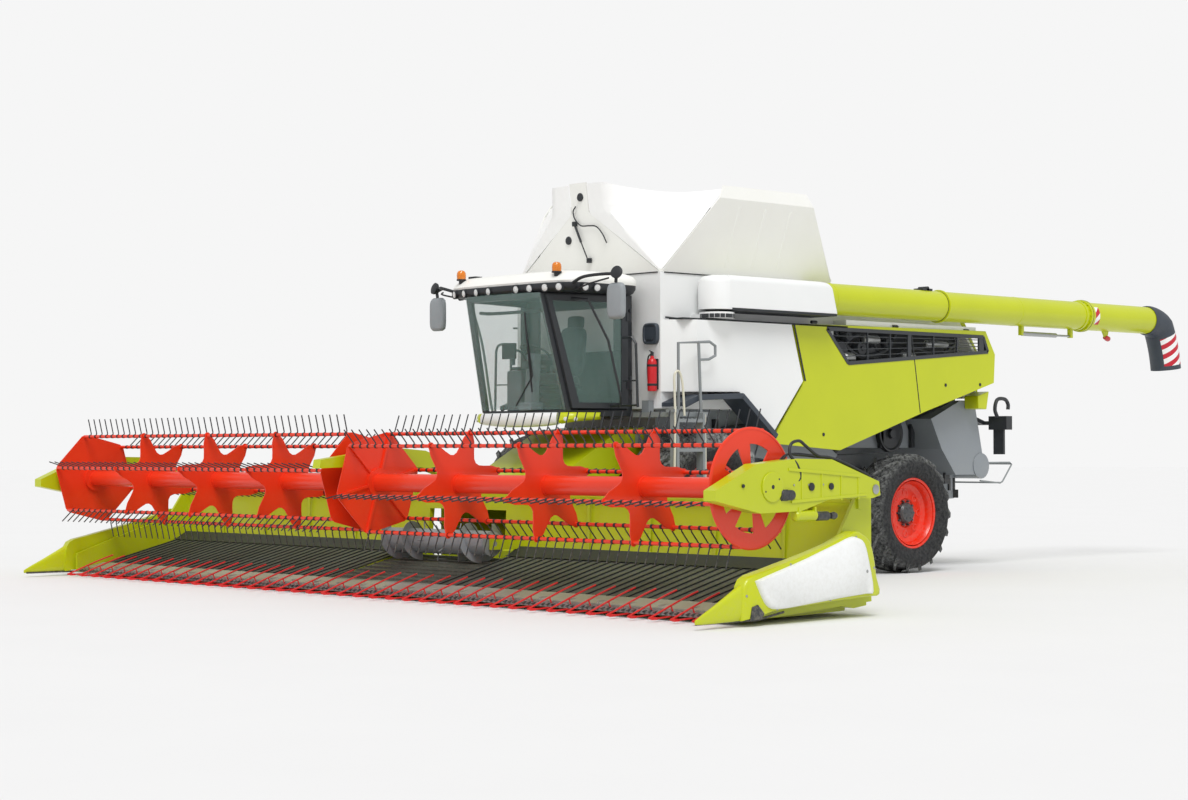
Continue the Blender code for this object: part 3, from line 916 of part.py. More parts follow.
slope = Vector((BELT_REAR[0] - BELT_FRONT[0], BELT_REAR[1] - BELT_FRONT[1])).normalized()
lift = Vector((-slope.y, slope.x)) * BELT_T
belt_outline = [BELT_FRONT, BELT_REAR, (BELT_REAR[0] + lift.x, BELT_REAR[1] + lift.y), (BELT_FRONT[0] + lift.x, BELT_FRONT[1] + lift.y)]
piece("belt_left", "belt rubber", [prism(belt_outline, "x", BELT_IN_X, HEADER_X - RUN_GAP)], "header")
piece("belt_right", "belt rubber", [prism(belt_outline, "x", -HEADER_X + RUN_GAP, -BELT_IN_X)], "header")
knife_top = KNIFE_Z + 0.03
piece("knife_bar", "bare steel",
      [prism([(KNIFE_Y - 0.12, KNIFE_Z - 0.02), (KNIFE_Y - 0.02, KNIFE_Z - 0.032), (KNIFE_Y - SEAT_GAP, KNIFE_Z - 0.032),
              (KNIFE_Y - SEAT_GAP, knife_top), (KNIFE_Y - 0.06, knife_top)], "x", -HEADER_X + 0.004, HEADER_X - 0.004)], "header")

shield_outline = [(-0.40, 0.05), (-0.33, 0.46), (0.50, 0.66), (1.28, 0.88), (1.54, 0.78), (1.70, 0.22), (0.10, 0.13)]
shield_rings = []
for x, grow in ((SHIELD_X[0], 0.0), (SHIELD_X[1] - 0.03, 0.0), (SHIELD_X[1], 0.03)):
    shield_rings.append([(x, y + grow * (0.6 - y) / 1.1, z + grow * (0.45 - z) / 0.4) for y, z in shield_outline])
nose = skin([[(SHIELD_X[0] + 0.002, -0.30, 0.07), (SHIELD_X[1] - 0.04, -0.30, 0.08), (SHIELD_X[1] - 0.04, -0.24, 0.45),
              (SHIELD_X[0] + 0.002, -0.24, 0.45)],
             [(6.225, NOSE_Y, 0.05), (6.255, NOSE_Y, 0.05), (6.25, NOSE_Y, 0.11), (6.23, NOSE_Y, 0.11)]])
shield_fix = block((HEADER_X + 0.04 + SEAT_GAP, 0.5, 0.20), (SHIELD_X[0] + 0.01, 0.7, 0.40))
shield_fix_rear = block((HEADER_X + 0.04 + SEAT_GAP, 1.2, 0.30), (SHIELD_X[0] + 0.01, 1.4, 0.50))
both_sides("end_shield", "white paint", [skin(shield_rings), nose, shield_fix, shield_fix_rear], "header", "header")

drum_pin_x = DRUM_HALF + RUN_GAP + 0.04
piece("intake_drum", "lime paint",
      [rod((-DRUM_HALF, *DRUM_AXIS), (DRUM_HALF, *DRUM_AXIS), DRUM_R, 20),
       rod((-drum_pin_x, *DRUM_AXIS), (drum_pin_x, *DRUM_AXIS), DRUM_PIN_R, PIN_SIDES)], "intake_drum", smooth=True)

# ---------------------------------------------------------------- reel arms, carriages and reel
arm_outline = [(-0.78, 1.22), (-0.78, 1.32), (-0.20, 1.57), (0.40, 1.62), (0.92, 1.61), (1.66, 1.38), (1.68, 1.24), (1.55, 1.21),
               (0.92, 1.22), (0.45, 1.10), (-0.15, 1.09)]


arm_pin = [rod((ARM_X[0] - 0.045, *ARM_PIVOT), (ARM_X[0] + 0.03, *ARM_PIVOT), ARM_PIN_R, PIN_SIDES)]
both_sides("reel_arm", "lime paint", [prism(arm_outline, "x", *ARM_X)] + arm_pin, "reel_arms", "reel_arms")
mid_outline = [(-0.78, 1.50), (-0.76, 1.60), (0.30, 1.74), (0.80, 1.70), (1.66, 1.38), (1.68, 1.25), (1.55, 1.23), (0.75, 1.50), (0.2, 1.53)]
mid_pin = rod((MID_ARM_X[0] - RUN_GAP - 0.03, *ARM_PIVOT), (MID_ARM_X[1] + RUN_GAP + 0.03, *ARM_PIVOT), MID_ARM_PIN_R, PIN_SIDES)
piece("reel_arm_middle", "lime paint", [prism(mid_outline, "x", *MID_ARM_X), mid_pin], "reel_arms")

CARRIAGE_T = 0.05
carriage_plan = [(-0.17, REEL_Z - 0.14), (-0.17, REEL_Z + 0.14), (0.20, REEL_Z + 0.14), (0.20, REEL_Z - 0.14)]
both_sides("reel_carriage", "lime paint",
           [prism(carriage_plan, "x", ARM_X[0] - CARRIAGE_T - 0.0005, ARM_X[0] - 0.0005)], "reel_carriages", "reel_carriages")
piece("reel_carriage_middle", "lime paint",
      [prism([(-0.14, REEL_Z - 0.12), (-0.14, 1.488), (0.18, 1.488), (0.18, REEL_Z - 0.12)], "x", MID_ARM_X[0], MID_ARM_X[1])],
      "reel_carriages")

HUB_PLATE_R = 0.23


def bar_angle(turn, k):
    """Angle of a tine bar from straight back, towards straight up."""
    return math.radians(90 + turn + 60 * k)


def star(turn):
    """Outline of a six-armed plate that carries the tine bars."""
    spots = []
    for k in range(6):
        angle = bar_angle(turn, k)
        cos, sin = math.cos(angle), math.sin(angle)
        tip = REEL_R + TINE_BAR_R + 0.012
        for across in (-0.05, 0.05):
            spots.append((tip * cos - across * sin, REEL_Z + tip * sin + across * cos))
        valley = angle + math.radians(30)
        spots.append((HUB_PLATE_R * math.cos(valley), REEL_Z + HUB_PLATE_R * math.sin(valley)))
    return spots


def reel(name, inner_x, outer_x, turn, on):
    """Centre tube, star plates and six tine bars of one section."""
    sign = 1 if outer_x > 0 else -1
    low, high = sorted((inner_x, outer_x))
    shapes = [rod((low + 0.002, 0, REEL_Z), (high - 0.002, 0, REEL_Z), REEL_TUBE_R, 16)]
    step = (high - low - REEL_PLATE_T) / (REEL_PLATES - 1)
    for k in range(REEL_PLATES):
        x = low + k * step
        shapes.append(prism(star(turn), "x", x, x + REEL_PLATE_T))
    for k in range(6):
        angle = bar_angle(turn, k)
        y, z = REEL_R * math.cos(angle), REEL_Z + REEL_R * math.sin(angle)
        shapes.append(rod((low + 0.003, y, z), (high - 0.003, y, z), TINE_BAR_R, 6))
    stub_end = sign * (ARM_X[0] - CARRIAGE_T - 0.0005 - SEAT_GAP)
    shapes.append(rod((outer_x - sign * 0.05, 0, REEL_Z), (stub_end, 0, REEL_Z), 0.05, 12))
    inner_end = (MID_ARM_X[1] if sign > 0 else MID_ARM_X[0]) + sign * SEAT_GAP
    shapes.append(rod((inner_x + sign * 0.05, 0, REEL_Z), (inner_end, 0, REEL_Z), 0.05, 12))
    piece(name, "red paint", shapes, on)


reel("reel_left", REEL_IN_LEFT_X, REEL_OUT_X, LEFT_REEL_TURN, "reel_left")
reel("reel_right", REEL_IN_RIGHT_X, -REEL_OUT_X, RIGHT_REEL_TURN, "reel_right")
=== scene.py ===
"""A combine harvester with a wide belt header: its looks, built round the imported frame.

Pieces are drawn in metres, +X to the machine's left, -Y forwards, with y measured from the
reel's axis.  fit() carries each one to the frame and hangs it on the body it moves with.
"""
import json
import math

import bmesh
import bpy
from mathutils import Matrix, Vector


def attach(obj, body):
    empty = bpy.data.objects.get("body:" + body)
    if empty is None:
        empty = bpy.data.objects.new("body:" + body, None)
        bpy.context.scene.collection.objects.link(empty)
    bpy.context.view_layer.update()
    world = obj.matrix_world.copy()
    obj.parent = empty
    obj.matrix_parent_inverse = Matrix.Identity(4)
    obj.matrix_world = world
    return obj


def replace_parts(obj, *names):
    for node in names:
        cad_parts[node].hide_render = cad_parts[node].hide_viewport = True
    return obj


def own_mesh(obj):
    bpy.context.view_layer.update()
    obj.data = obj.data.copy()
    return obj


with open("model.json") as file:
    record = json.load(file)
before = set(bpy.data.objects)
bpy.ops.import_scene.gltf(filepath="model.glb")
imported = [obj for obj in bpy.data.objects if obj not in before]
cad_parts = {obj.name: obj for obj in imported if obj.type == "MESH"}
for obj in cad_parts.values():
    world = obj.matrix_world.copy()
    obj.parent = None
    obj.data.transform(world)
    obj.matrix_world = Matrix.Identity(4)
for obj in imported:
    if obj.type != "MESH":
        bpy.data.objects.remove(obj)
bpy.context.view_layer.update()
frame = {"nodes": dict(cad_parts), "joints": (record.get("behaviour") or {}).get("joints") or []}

REEL_AXIS_Y = [joint["pos_m"][1] for joint in frame["joints"] if joint["name"] == "reel_left_spin"][0]

# ---------------------------------------------------------------- studio floor, light and camera
# Not part of the machine: a pale seamless floor under an even white sky, with one broad soft
# lamp high over the camera's left shoulder.  The camera stands off the machine's left front.


def linear(code):
    """A paint chart's sRGB hex value as linear colour."""
    parts = [int(code[k:k + 2], 16) / 255 for k in (1, 3, 5)]
    return [c / 12.92 if c <= 0.04045 else ((c + 0.055) / 1.055) ** 2.4 for c in parts] + [1.0]


def add(tree, kind, settings=None, links=None):
    """Adds one node, with its settings (attributes or sockets) and its incoming links."""
    made = tree.nodes.new(kind)
    for key, value in (settings or {}).items():
        if isinstance(key, int) or key in made.inputs:
            made.inputs[key].default_value = value
        else:
            setattr(made, key, value)
    for key, source in (links or {}).items():
        tree.links.new(source, made.inputs[key])
    return made


bpy.context.scene.view_settings.view_transform = "Standard"
sky = bpy.data.worlds.new("white sky")
bpy.context.scene.world = sky
sky.use_nodes = True
sky.node_tree.nodes.clear()
seen = add(sky.node_tree, "ShaderNodeLightPath").outputs["Is Camera Ray"]
glow = add(sky.node_tree, "ShaderNodeBackground", {"Color": linear("#FFFFFF"), "Strength": 0.66})
backdrop = add(sky.node_tree, "ShaderNodeBackground", {"Color": linear("#F6F6F6"), "Strength": 1.0})
both = add(sky.node_tree, "ShaderNodeMixShader", {},
           {0: seen, 1: glow.outputs[0], 2: backdrop.outputs[0]})
add(sky.node_tree, "ShaderNodeOutputWorld", {}, {"Surface": both.outputs[0]})

floor_tint = bpy.data.materials.new("matt white studio paper")
floor_tint.use_nodes = True
tree = floor_tint.node_tree
paper = add(tree, "ShaderNodeTexNoise", {"Scale": 0.6, "Detail": 3.0},
            {"Vector": add(tree, "ShaderNodeTexCoord").outputs["Object"]})
shade = add(tree, "ShaderNodeMix", {"data_type": "RGBA", 6: linear("#E6E6E6"), 7: linear("#E9E9E9")},
            {0: paper.outputs["Fac"]})
tree.links.new(shade.outputs[2], tree.nodes["Principled BSDF"].inputs["Base Color"])
tree.nodes["Principled BSDF"].inputs["Roughness"].default_value = 0.9
bpy.ops.mesh.primitive_circle_add(vertices=96, radius=160, fill_type="NGON", location=(0, 0, -0.002))
floor = bpy.context.object
floor.name = "studio_floor"
floor.data.materials.append(floor_tint)

lamp = bpy.data.objects.new("soft lamp", bpy.data.lights.new("soft lamp", "SUN"))
lamp.data.energy = 1.9
lamp.data.angle = math.radians(28)
lamp.rotation_euler = Vector((0.50, -0.42, 0.90)).to_track_quat("Z", "Y").to_euler()
bpy.context.scene.collection.objects.link(lamp)

CAMERA_PLACE = Vector((20.971, -23.205, 1.735))
CAMERA_TURN = math.radians(46.422)
CAMERA_TILT = math.radians(-1.214)
CAMERA_ROLL = math.radians(-0.131)
backward = Vector((math.sin(CAMERA_TURN) * math.cos(CAMERA_TILT),
                   -math.cos(CAMERA_TURN) * math.cos(CAMERA_TILT), math.sin(CAMERA_TILT)))
rightward = Vector((0, 0, 1)).cross(backward).normalized()
facing = Matrix((rightward, backward.cross(rightward), backward)).transposed().to_4x4()
camera = bpy.data.objects.new("camera", bpy.data.cameras.new("camera"))
camera.data.lens = 67.80
camera.data.sensor_width = 36.0
camera.data.clip_end = 400
bpy.context.scene.collection.objects.link(camera)
camera.matrix_world = Matrix.Translation(CAMERA_PLACE) @ facing @ Matrix.Rotation(CAMERA_ROLL, 4, "Z")
bpy.context.scene.camera = camera

# ---------------------------------------------------------------- wheels
# Four cross-ply farm tyres with chevron lugs on red enamelled steel rims.  The rims are rolled
# and pressed, with a dished disc bolted to the hub; dried earth sits between and on the lugs.


def loft(shape, rings, loop=False, caps=True):
    """Skins rings of equally many points."""
    rows = [[shape.verts.new(spot) for spot in ring] for ring in rings]
    pairs = list(zip(rows, rows[1:]))
    if loop:
        pairs.append((rows[-1], rows[0]))
    count = len(rows[0])
    for one, two in pairs:
        for k in range(count):
            shape.faces.new((one[k], one[(k + 1) % count], two[(k + 1) % count], two[k]))
    if caps and not loop:
        shape.faces.new(rows[0])
        shape.faces.new(rows[-1][::-1])


def circle(centre, way, radius, sides, turn=0.0):
    """Points of a circle square to a direction."""
    way = Vector(way).normalized()
    side = way.cross(Vector((0, 0, 1)) if abs(way.z) < 0.9 else Vector((0, 1, 0))).normalized()
    rise = side.cross(way)
    angles = [turn + math.tau * k / sides for k in range(sides)]
    return [Vector(centre) + radius * (math.cos(a) * side + math.sin(a) * rise) for a in angles]


def turned(shape, section, centre, way, sides=32, loop=False):
    """A lathe section of (along, radius) points spun about an axis."""
    way = Vector(way).normalized()
    rings = [circle(Vector(centre) + way * along, way, max(radius, 0.0004), sides)
             for along, radius in section]
    loft(shape, rings, loop)


def plate(shape, outline, axis, low, high):
    """A flat outline in the other two axes, cut from stock between low and high."""
    place = {"x": lambda a, b, c: (c, a, b), "y": lambda a, b, c: (a, c, b), "z": lambda a, b, c: (a, b, c)}
    loft(shape, [[place[axis](a, b, c) for a, b in outline] for c in (low, high)])


def side_plate(shape, outline, side, near, far):
    """A (y, z) outline cut from stock that stands between two widths on one side."""
    plate(shape, outline, "x", min(side * near, side * far), max(side * near, side * far))


def block(shape, low, high):
    """A square-cut block between two corners."""
    plate(shape, [(low[0], low[1]), (high[0], low[1]), (high[0], high[1]), (low[0], high[1])],
          "z", low[2], high[2])


def tube(shape, route, radius, sides=10):
    """Bent tube or hose along a route, without twist."""
    spots = [Vector(spot) for spot in route]
    side = (spots[1] - spots[0]).orthogonal().normalized()
    rings = []
    for k, spot in enumerate(spots):
        way = (spots[min(k + 1, len(spots) - 1)] - spots[max(k - 1, 0)]).normalized()
        side = (side - way * side.dot(way)).normalized()
        rise = side.cross(way)
        angles = [math.tau * j / sides for j in range(sides)]
        rings.append([spot + radius * (math.cos(a) * side + math.sin(a) * rise) for a in angles])
    loft(shape, rings)


def eased(spots, steps=6):
    """A smooth route through a few points."""
    spots = [Vector(spot) for spot in spots]
    full = [2 * spots[0] - spots[1]] + spots + [2 * spots[-1] - spots[-2]]
    route = []
    for k in range(1, len(full) - 2):
        a, b, c, d = full[k - 1:k + 3]
        for j in range(steps):
            t = j / steps
            route.append(0.5 * (2 * b + (c - a) * t + (2 * a - 5 * b + 4 * c - d) * t ** 2
                                + (3 * b - a - 3 * c + d) * t ** 3))
    return route + [spots[-1]]


def strut(shape, start, end, width, depth, across):
    """A straight square bar; its width lies along across."""
    start, end = Vector(start), Vector(end)
    wide = Vector(across).normalized() * width / 2
    deep = (end - start).cross(wide).normalized() * depth / 2
    corners = (wide + deep, wide - deep, -wide - deep, deep - wide)
    loft(shape, [[start + c for c in corners], [end + c for c in corners]])


def bolts(shape, centre, way, ring, count, size, height, turn=0.0):
    """Hexagon heads round a pitch circle."""
    for spot in circle(centre, way, ring, count, turn):
        turned(shape, [(-0.004, size), (height, size), (height * 1.15, size * 0.8)], spot, way, 6)


def fit(name, shape, body, finishes, soften=0.0, origin=(0, 0, 0), crease=32):
    """Makes a drawn shape a piece of the machine: finish, softened edges and body."""
    base = Vector(origin)
    bmesh.ops.recalc_face_normals(shape, faces=shape.faces)
    for vert in shape.verts:
        vert.co -= base
    mesh = bpy.data.meshes.new(name)
    shape.to_mesh(mesh)
    shape.free()
    mesh.shade_smooth()
    mesh.set_sharp_from_angle(angle=math.radians(crease))
    for finish in finishes if isinstance(finishes, list) else [finishes]:
        mesh.materials.append(finish)
    made = bpy.data.objects.new(name, mesh)
    bpy.context.scene.collection.objects.link(made)
    made.location = base + Vector((0, REEL_AXIS_Y, 0))
    if soften:
        edge = made.modifiers.new("soften", "BEVEL")
        edge.width = soften
        edge.segments = 2
        edge.limit_method = "ANGLE"
        edge.angle_limit = math.radians(crease)
    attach(made, body)
    return made


def mirrored(shape):
    """The same shape for the machine's other side."""
    twin = shape.copy()
    for vert in twin.verts:
        vert.co.x = -vert.co.x
    return twin


def pair(name, shape, body, finishes, soften=0.0, origin=(0, 0, 0), crease=32):
    """A left piece and its right-hand twin; {} in the body stands for left or right."""
    twin = mirrored(shape)
    left = fit(name + "_left", shape, body.format("left"), finishes, soften, origin, crease)
    flipped = (-origin[0], origin[1], origin[2])
    right = fit(name + "_right", twin, body.format("right"), finishes, soften, flipped, crease)
    return left, right


def recoat(names, finish):
    """Gives CAD nodes that are kept as they are their real finish."""
    for name in names:
        slots = frame["nodes"][name].data.materials
        slots.clear()
        slots.append(finish)


def begin_finish(name, slot):
    """A new material for one of the record's slots: the material, its nodes, its shader and the
    place on the machine that its patterns are laid out by."""
    finish = bpy.data.materials.new(name)
    finish["slot"] = slot
    finish.use_nodes = True
    tree = finish.node_tree
    place = add(tree, "ShaderNodeTexCoord").outputs["Object"]
    return finish, tree, tree.nodes["Principled BSDF"], place


def tint(tree, shader, share, code, shade):
    """Colours the surface between two paint codes by a share from 0 to 1."""
    tone = add(tree, "ShaderNodeMix", {"data_type": "RGBA", 6: linear(code), 7: linear(shade)}, {0: share})
    tree.links.new(tone.outputs[2], shader.inputs["Base Color"])


def emboss(tree, shader, strength, depth, height):
    """Raises the surface by a pattern, its depth in metres."""
    relief = add(tree, "ShaderNodeBump", {"Strength": strength, "Distance": depth}, {"Height": height})
    tree.links.new(relief.outputs[0], shader.inputs["Normal"])


def enamel(name, slot, code, shade, rough=0.33, soil=0.16, metal=0.0):
    """Two-pack enamel sprayed on sheet steel: even colour with a faint cloud in it, an orange
    peel of some 8 mm, gloss broken by handling, and field dust that thickens downwards."""
    paint, tree, shader, place = begin_finish(name, slot)
    shader.inputs["Metallic"].default_value = metal
    shader.inputs["Coat Weight"].default_value = 0.22
    shader.inputs["Coat Roughness"].default_value = 0.10
    cloud = add(tree, "ShaderNodeTexNoise", {"Scale": 1.4, "Detail": 4.0}, {"Vector": place})
    grit = add(tree, "ShaderNodeTexNoise", {"Scale": 26.0, "Detail": 7.0, "Roughness": 0.62},
               {"Vector": place})
    peel = add(tree, "ShaderNodeTexNoise", {"Scale": 120.0, "Detail": 2.0}, {"Vector": place})
    height = add(tree, "ShaderNodeSeparateXYZ", {}, {"Vector": place})
    low = add(tree, "ShaderNodeMapRange", {"From Min": 1.7, "From Max": 0.0, "To Max": soil},
              {"Value": height.outputs["Z"]})
    patchy = add(tree, "ShaderNodeMapRange", {"From Min": 0.42, "From Max": 0.72},
                 {"Value": grit.outputs["Fac"]})
    dust = add(tree, "ShaderNodeMath", {"operation": "MULTIPLY"},
               {0: low.outputs[0], 1: patchy.outputs[0]})
    tone = add(tree, "ShaderNodeMix", {"data_type": "RGBA", 6: linear(code), 7: linear(shade)},
               {0: cloud.outputs["Fac"]})
    coated = add(tree, "ShaderNodeMix", {"data_type": "RGBA", 7: linear("#A79F8C")},
                 {0: dust.outputs[0], 6: tone.outputs[2]})
    tree.links.new(coated.outputs[2], shader.inputs["Base Color"])
    gloss = add(tree, "ShaderNodeMapRange", {"To Min": rough - 0.06, "To Max": rough + 0.12},
                {"Value": grit.outputs["Fac"]})
    tree.links.new(gloss.outputs[0], shader.inputs["Roughness"])
    emboss(tree, shader, 0.06, 0.004, peel.outputs["Fac"])
    return paint


red_enamel = enamel("red enamel on pressed steel", "red_paint", "#EE2A02", "#DB2400")
black_steel = enamel("black enamel on cast and welded steel", "black_steel", "#202327", "#2E3135",
                     rough=0.45, soil=0.45)
hub_iron = enamel("dark grey enamel on cast iron", "black_steel", "#3A3E43", "#2C2F33", rough=0.45)

# Carbon-black rubber, moulded; matt, with pale dried soil that is heaviest where the tread
# meets the field and on the shoulders.  The soil's clods are drawn some 40 mm across.
tyre_rubber, tree, shader, place = begin_finish("moulded carbon black tyre rubber", "tyre_rubber")
clods = add(tree, "ShaderNodeTexNoise", {"Scale": 24.0, "Detail": 8.0, "Roughness": 0.7}, {"Vector": place})
parts = add(tree, "ShaderNodeSeparateXYZ", {}, {"Vector": place})
wheel_plane = add(tree, "ShaderNodeCombineXYZ", {}, {"Y": parts.outputs["Y"], "Z": parts.outputs["Z"]})
reach = add(tree, "ShaderNodeVectorMath", {"operation": "LENGTH"}, {0: wheel_plane.outputs[0]})
outer = add(tree, "ShaderNodeMapRange", {"From Min": 0.70, "From Max": 0.86, "To Min": 0.10,
                                         "To Max": 0.85},
            {"Value": reach.outputs["Value"]})
spots = add(tree, "ShaderNodeMapRange", {"From Min": 0.38, "From Max": 0.66},
            {"Value": clods.outputs["Fac"]})
soil = add(tree, "ShaderNodeMath", {"operation": "MULTIPLY"}, {0: outer.outputs[0], 1: spots.outputs[0]})
tint(tree, shader, soil.outputs[0], "#1C1D1F", "#A9ABA9")
shader.inputs["Roughness"].default_value = 0.82
shader.inputs["Specular IOR Level"].default_value = 0.35
emboss(tree, shader, 0.35, 0.01, clods.outputs["Fac"])

LUG_STATIONS = ((0.03, 0.0, 0.020, 0.0, 0.028), (0.36, 0.0, 0.020, 0.13, 0.032),
                (0.70, 0.006, 0.026, 0.26, 0.036), (0.90, 0.030, 0.070, 0.33, 0.042),
                (0.985, 0.130, 0.165, 0.37, 0.046))


def tyre(radius, width, rim, lugs):
    """Carcass with its bead, wall and shoulder, and two rows of raked lugs in a chevron."""
    shape = bmesh.new()
    half = width / 2
    crown = radius - 0.048
    wall = crown - rim
    side = [(0.72, rim), (0.79, rim + 0.02), (0.90, rim + wall * 0.22), (0.975, rim + wall * 0.45),
            (0.985, rim + wall * 0.62), (0.96, rim + wall * 0.80), (0.90, crown - 0.035),
            (0.80, crown - 0.014), (0.50, crown - 0.003)]
    section = [(-share * half, r) for share, r in side] + [(0.0, crown)]
    section += [(share * half, r) for share, r in side[::-1]]
    turned(shape, section, (0, 0, 0), (1, 0, 0), 72, loop=True)
    for row in (-1, 1):
        for k in range(lugs):
            start = math.tau * (k + (0.5 if row > 0 else 0.0)) / lugs
            rings = []
            for share, drop, sink, lead, wide in LUG_STATIONS:
                ring = []
                for r, turn in ((radius - drop, -0.8), (radius - drop, 0.8), (crown - sink, 1.15),
                                (crown - sink, -1.15)):
                    angle = start + lead / radius + turn * wide / radius
                    ring.append((row * share * half, r * math.sin(angle), r * math.cos(angle)))
                rings.append(ring)
            loft(shape, rings)
    return shape


def rim(radius, width, disc, hub):
    """Rolled rim with its flanges, and a dished disc with a hub boss and wheel bolts."""
    shape = bmesh.new()
    bead = width * 0.36
    seat = radius - 0.004
    section = [(bead + 0.016, seat + 0.016), (bead + 0.020, seat + 0.008), (bead + 0.008, seat - 0.014),
               (bead - 0.05, seat - 0.024), (disc + 0.17, seat - 0.030), (disc + 0.13, seat - 0.062),
               (disc + 0.07, seat - 0.070), (disc + 0.035, seat * 0.72), (disc + 0.045, seat * 0.45),
               (disc + 0.050, 0.205), (disc + 0.030, 0.185), (disc + 0.030, 0.05), (disc, 0.05),
               (disc, seat * 0.72), (disc + 0.02, seat - 0.075), (-bead + 0.03, seat - 0.030),
               (-bead - 0.020, seat - 0.010), (-bead - 0.016, seat + 0.016), (-bead, seat), (bead, seat)]
    turned(shape, section, (0, 0, 0), (1, 0, 0), 64, loop=True)
    for angle in range(0, 360, 45):
        spot = (disc + 0.030, seat * 0.60 * math.cos(math.radians(angle)),
                seat * 0.60 * math.sin(math.radians(angle)))
        turned(shape, [(-0.002, 0.052), (0.016, 0.050), (0.016, 0.034), (0.004, 0.030)], spot, (1, 0, 0),
               16)
    boss = bmesh.new()
    turned(boss, [(hub[0], 0.13), (disc + 0.01, 0.15), (hub[1] - 0.03, 0.145), (hub[1], 0.12),
                  (hub[1] + 0.004, 0.04)],
           (0, 0, 0), (1, 0, 0), 32)
    bolts(boss, (disc + 0.034, 0, 0), (1, 0, 0), 0.168, 10, 0.016, 0.030)
    bolts(boss, (hub[1] - 0.002, 0, 0), (1, 0, 0), 0.075, 6, 0.009, 0.012)
    return shape, boss


WHEELS = (("front", 1.32, 4.17, 0.99, 0.86, 0.56, 20, 0.02, (-0.495, 0.10), "front_wheel_{}"),
          ("rear", 1.44, 8.16, 0.82, 0.58, 0.475, 18, 0.04, (-0.195, 0.14), "rear_wheel_{}"))
for which, out, along, radius, width, rim_radius, lugs, disc, hub, body in WHEELS:
    shapes = {"cover": tyre(radius, width, rim_radius, lugs)}
    shapes["disc"], shapes["boss"] = rim(rim_radius, width, disc, hub)
    for part, finish, node in (("cover", tyre_rubber, "tyre"), ("disc", red_enamel, "rim"),
                               ("boss", hub_iron, "")):
        for vert in shapes[part].verts:
            vert.co += Vector((out, along, radius))
        made = pair(f"{which}_wheel_{part}", shapes[part], body, finish, origin=(out, along, radius))
        if node:
            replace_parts(made[0], f"{which}_{node}_left")
            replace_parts(made[1], f"{which}_{node}_right")

# ---------------------------------------------------------------- axles and chassis
# Cast axle housings, welded frame rails and steering knuckles, all in black enamel that
# collects dust.  The threshing body and engine sit on them behind the panels.
recoat(["chassis_frame", "front_axle", "rear_axle", "rear_knuckle_left", "rear_knuckle_right",
        "engine_block"], black_steel)
grey_sheet = enamel("grey enamel on folded sheet", "grey_panel", "#8E9499", "#868C92", rough=0.42, soil=0.7)
recoat(["threshing_body"], grey_sheet)

drives = bmesh.new()
for x, y, z, r, t in ((0.92, 5.30, 1.72, 0.30, 0.07), (0.92, 6.35, 1.86, 0.22, 0.07),
                      (0.92, 7.30, 1.98, 0.36, 0.06), (0.92, 8.62, 1.92, 0.26, 0.08),
                      (1.06, 6.85, 2.45, 0.20, 0.08),
                      (1.04, 7.95, 2.40, 0.24, 0.08)):
    turned(drives, [(0, r), (t, r), (t, r - 0.03), (t - 0.02, r - 0.05), (t - 0.02, 0.07), (t + 0.03, 0.06),
                    (t + 0.03, 0.02)], (x - 0.08, y, z), (1, 0, 0), 28)
for start, end in (((5.30, 2.02), (6.35, 2.08)), ((5.30, 1.42), (6.35, 1.64)), ((6.35, 2.08), (7.30, 2.34)),
                   ((7.30, 1.62), (8.62, 1.66)), ((7.30, 2.34), (8.62, 2.18)),
                   ((6.85, 2.65), (7.95, 2.64))):
    strut(drives, (0.88, *start), (0.88, *end), 0.05, 0.012, (1, 0, 0))
for y in (5.0, 5.9, 6.7, 7.6, 8.4, 9.1):
    block(drives, (0.84, y, 1.72), (0.90, y + 0.07, 2.10))
pair("side_drives", drives, "machine", black_steel, 0.003)

skirts = bmesh.new()
plate(skirts, [(5.62, 1.60), (7.02, 1.42), (7.30, 1.62), (6.80, 1.95), (5.80, 2.02)], "x", 1.02, 1.04)
plate(skirts, [(5.35, 1.75), (5.62, 1.60), (5.80, 2.02), (5.55, 2.10)], "x", 1.00, 1.02)
block(skirts, (0.84, 6.1, 1.60), (1.02, 6.16, 1.95))
pair("drive_skirt", skirts, "machine", grey_sheet, 0.004)

# ---------------------------------------------------------------- grain tank and its covers
# A welded tank in white enamel.  Its four folding covers are glass-fibre skins with a smooth
# gel coat; coated canvas gussets close the corners between them.
white_enamel = enamel("white enamel on sheet steel", "white_paint", "#F3F4F3", "#EAECEC", rough=0.36)
gel_coat = enamel("off-white gel coat on glass fibre", "cream_cover", "#F5F5F1", "#ECECE6", rough=0.5)
recoat(["grain_tank", "front_side_panel_left", "front_side_panel_right"], white_enamel)
recoat(["tank_cover_left", "tank_cover_right", "tank_cover_front", "tank_cover_rear"], gel_coat)


def moulded(name, slot, code, shade, grain=900.0, rough=0.5):
    """Injection-moulded plastic with a spark-eroded grain; the grain is drawn a millimetre or
    two coarse so that it shows, and handling has polished it unevenly."""
    plastic, tree, shader, place = begin_finish(name, slot)
    fine = add(tree, "ShaderNodeTexNoise", {"Scale": grain, "Detail": 2.0}, {"Vector": place})
    worn = add(tree, "ShaderNodeTexNoise", {"Scale": 7.0, "Detail": 5.0}, {"Vector": place})
    tint(tree, shader, worn.outputs["Fac"], code, shade)
    gloss = add(tree, "ShaderNodeMapRange", {"To Min": rough - 0.08, "To Max": rough + 0.10},
                {"Value": worn.outputs["Fac"]})
    tree.links.new(gloss.outputs[0], shader.inputs["Roughness"])
    emboss(tree, shader, 0.12, 0.001, fine.outputs["Fac"])
    return plastic


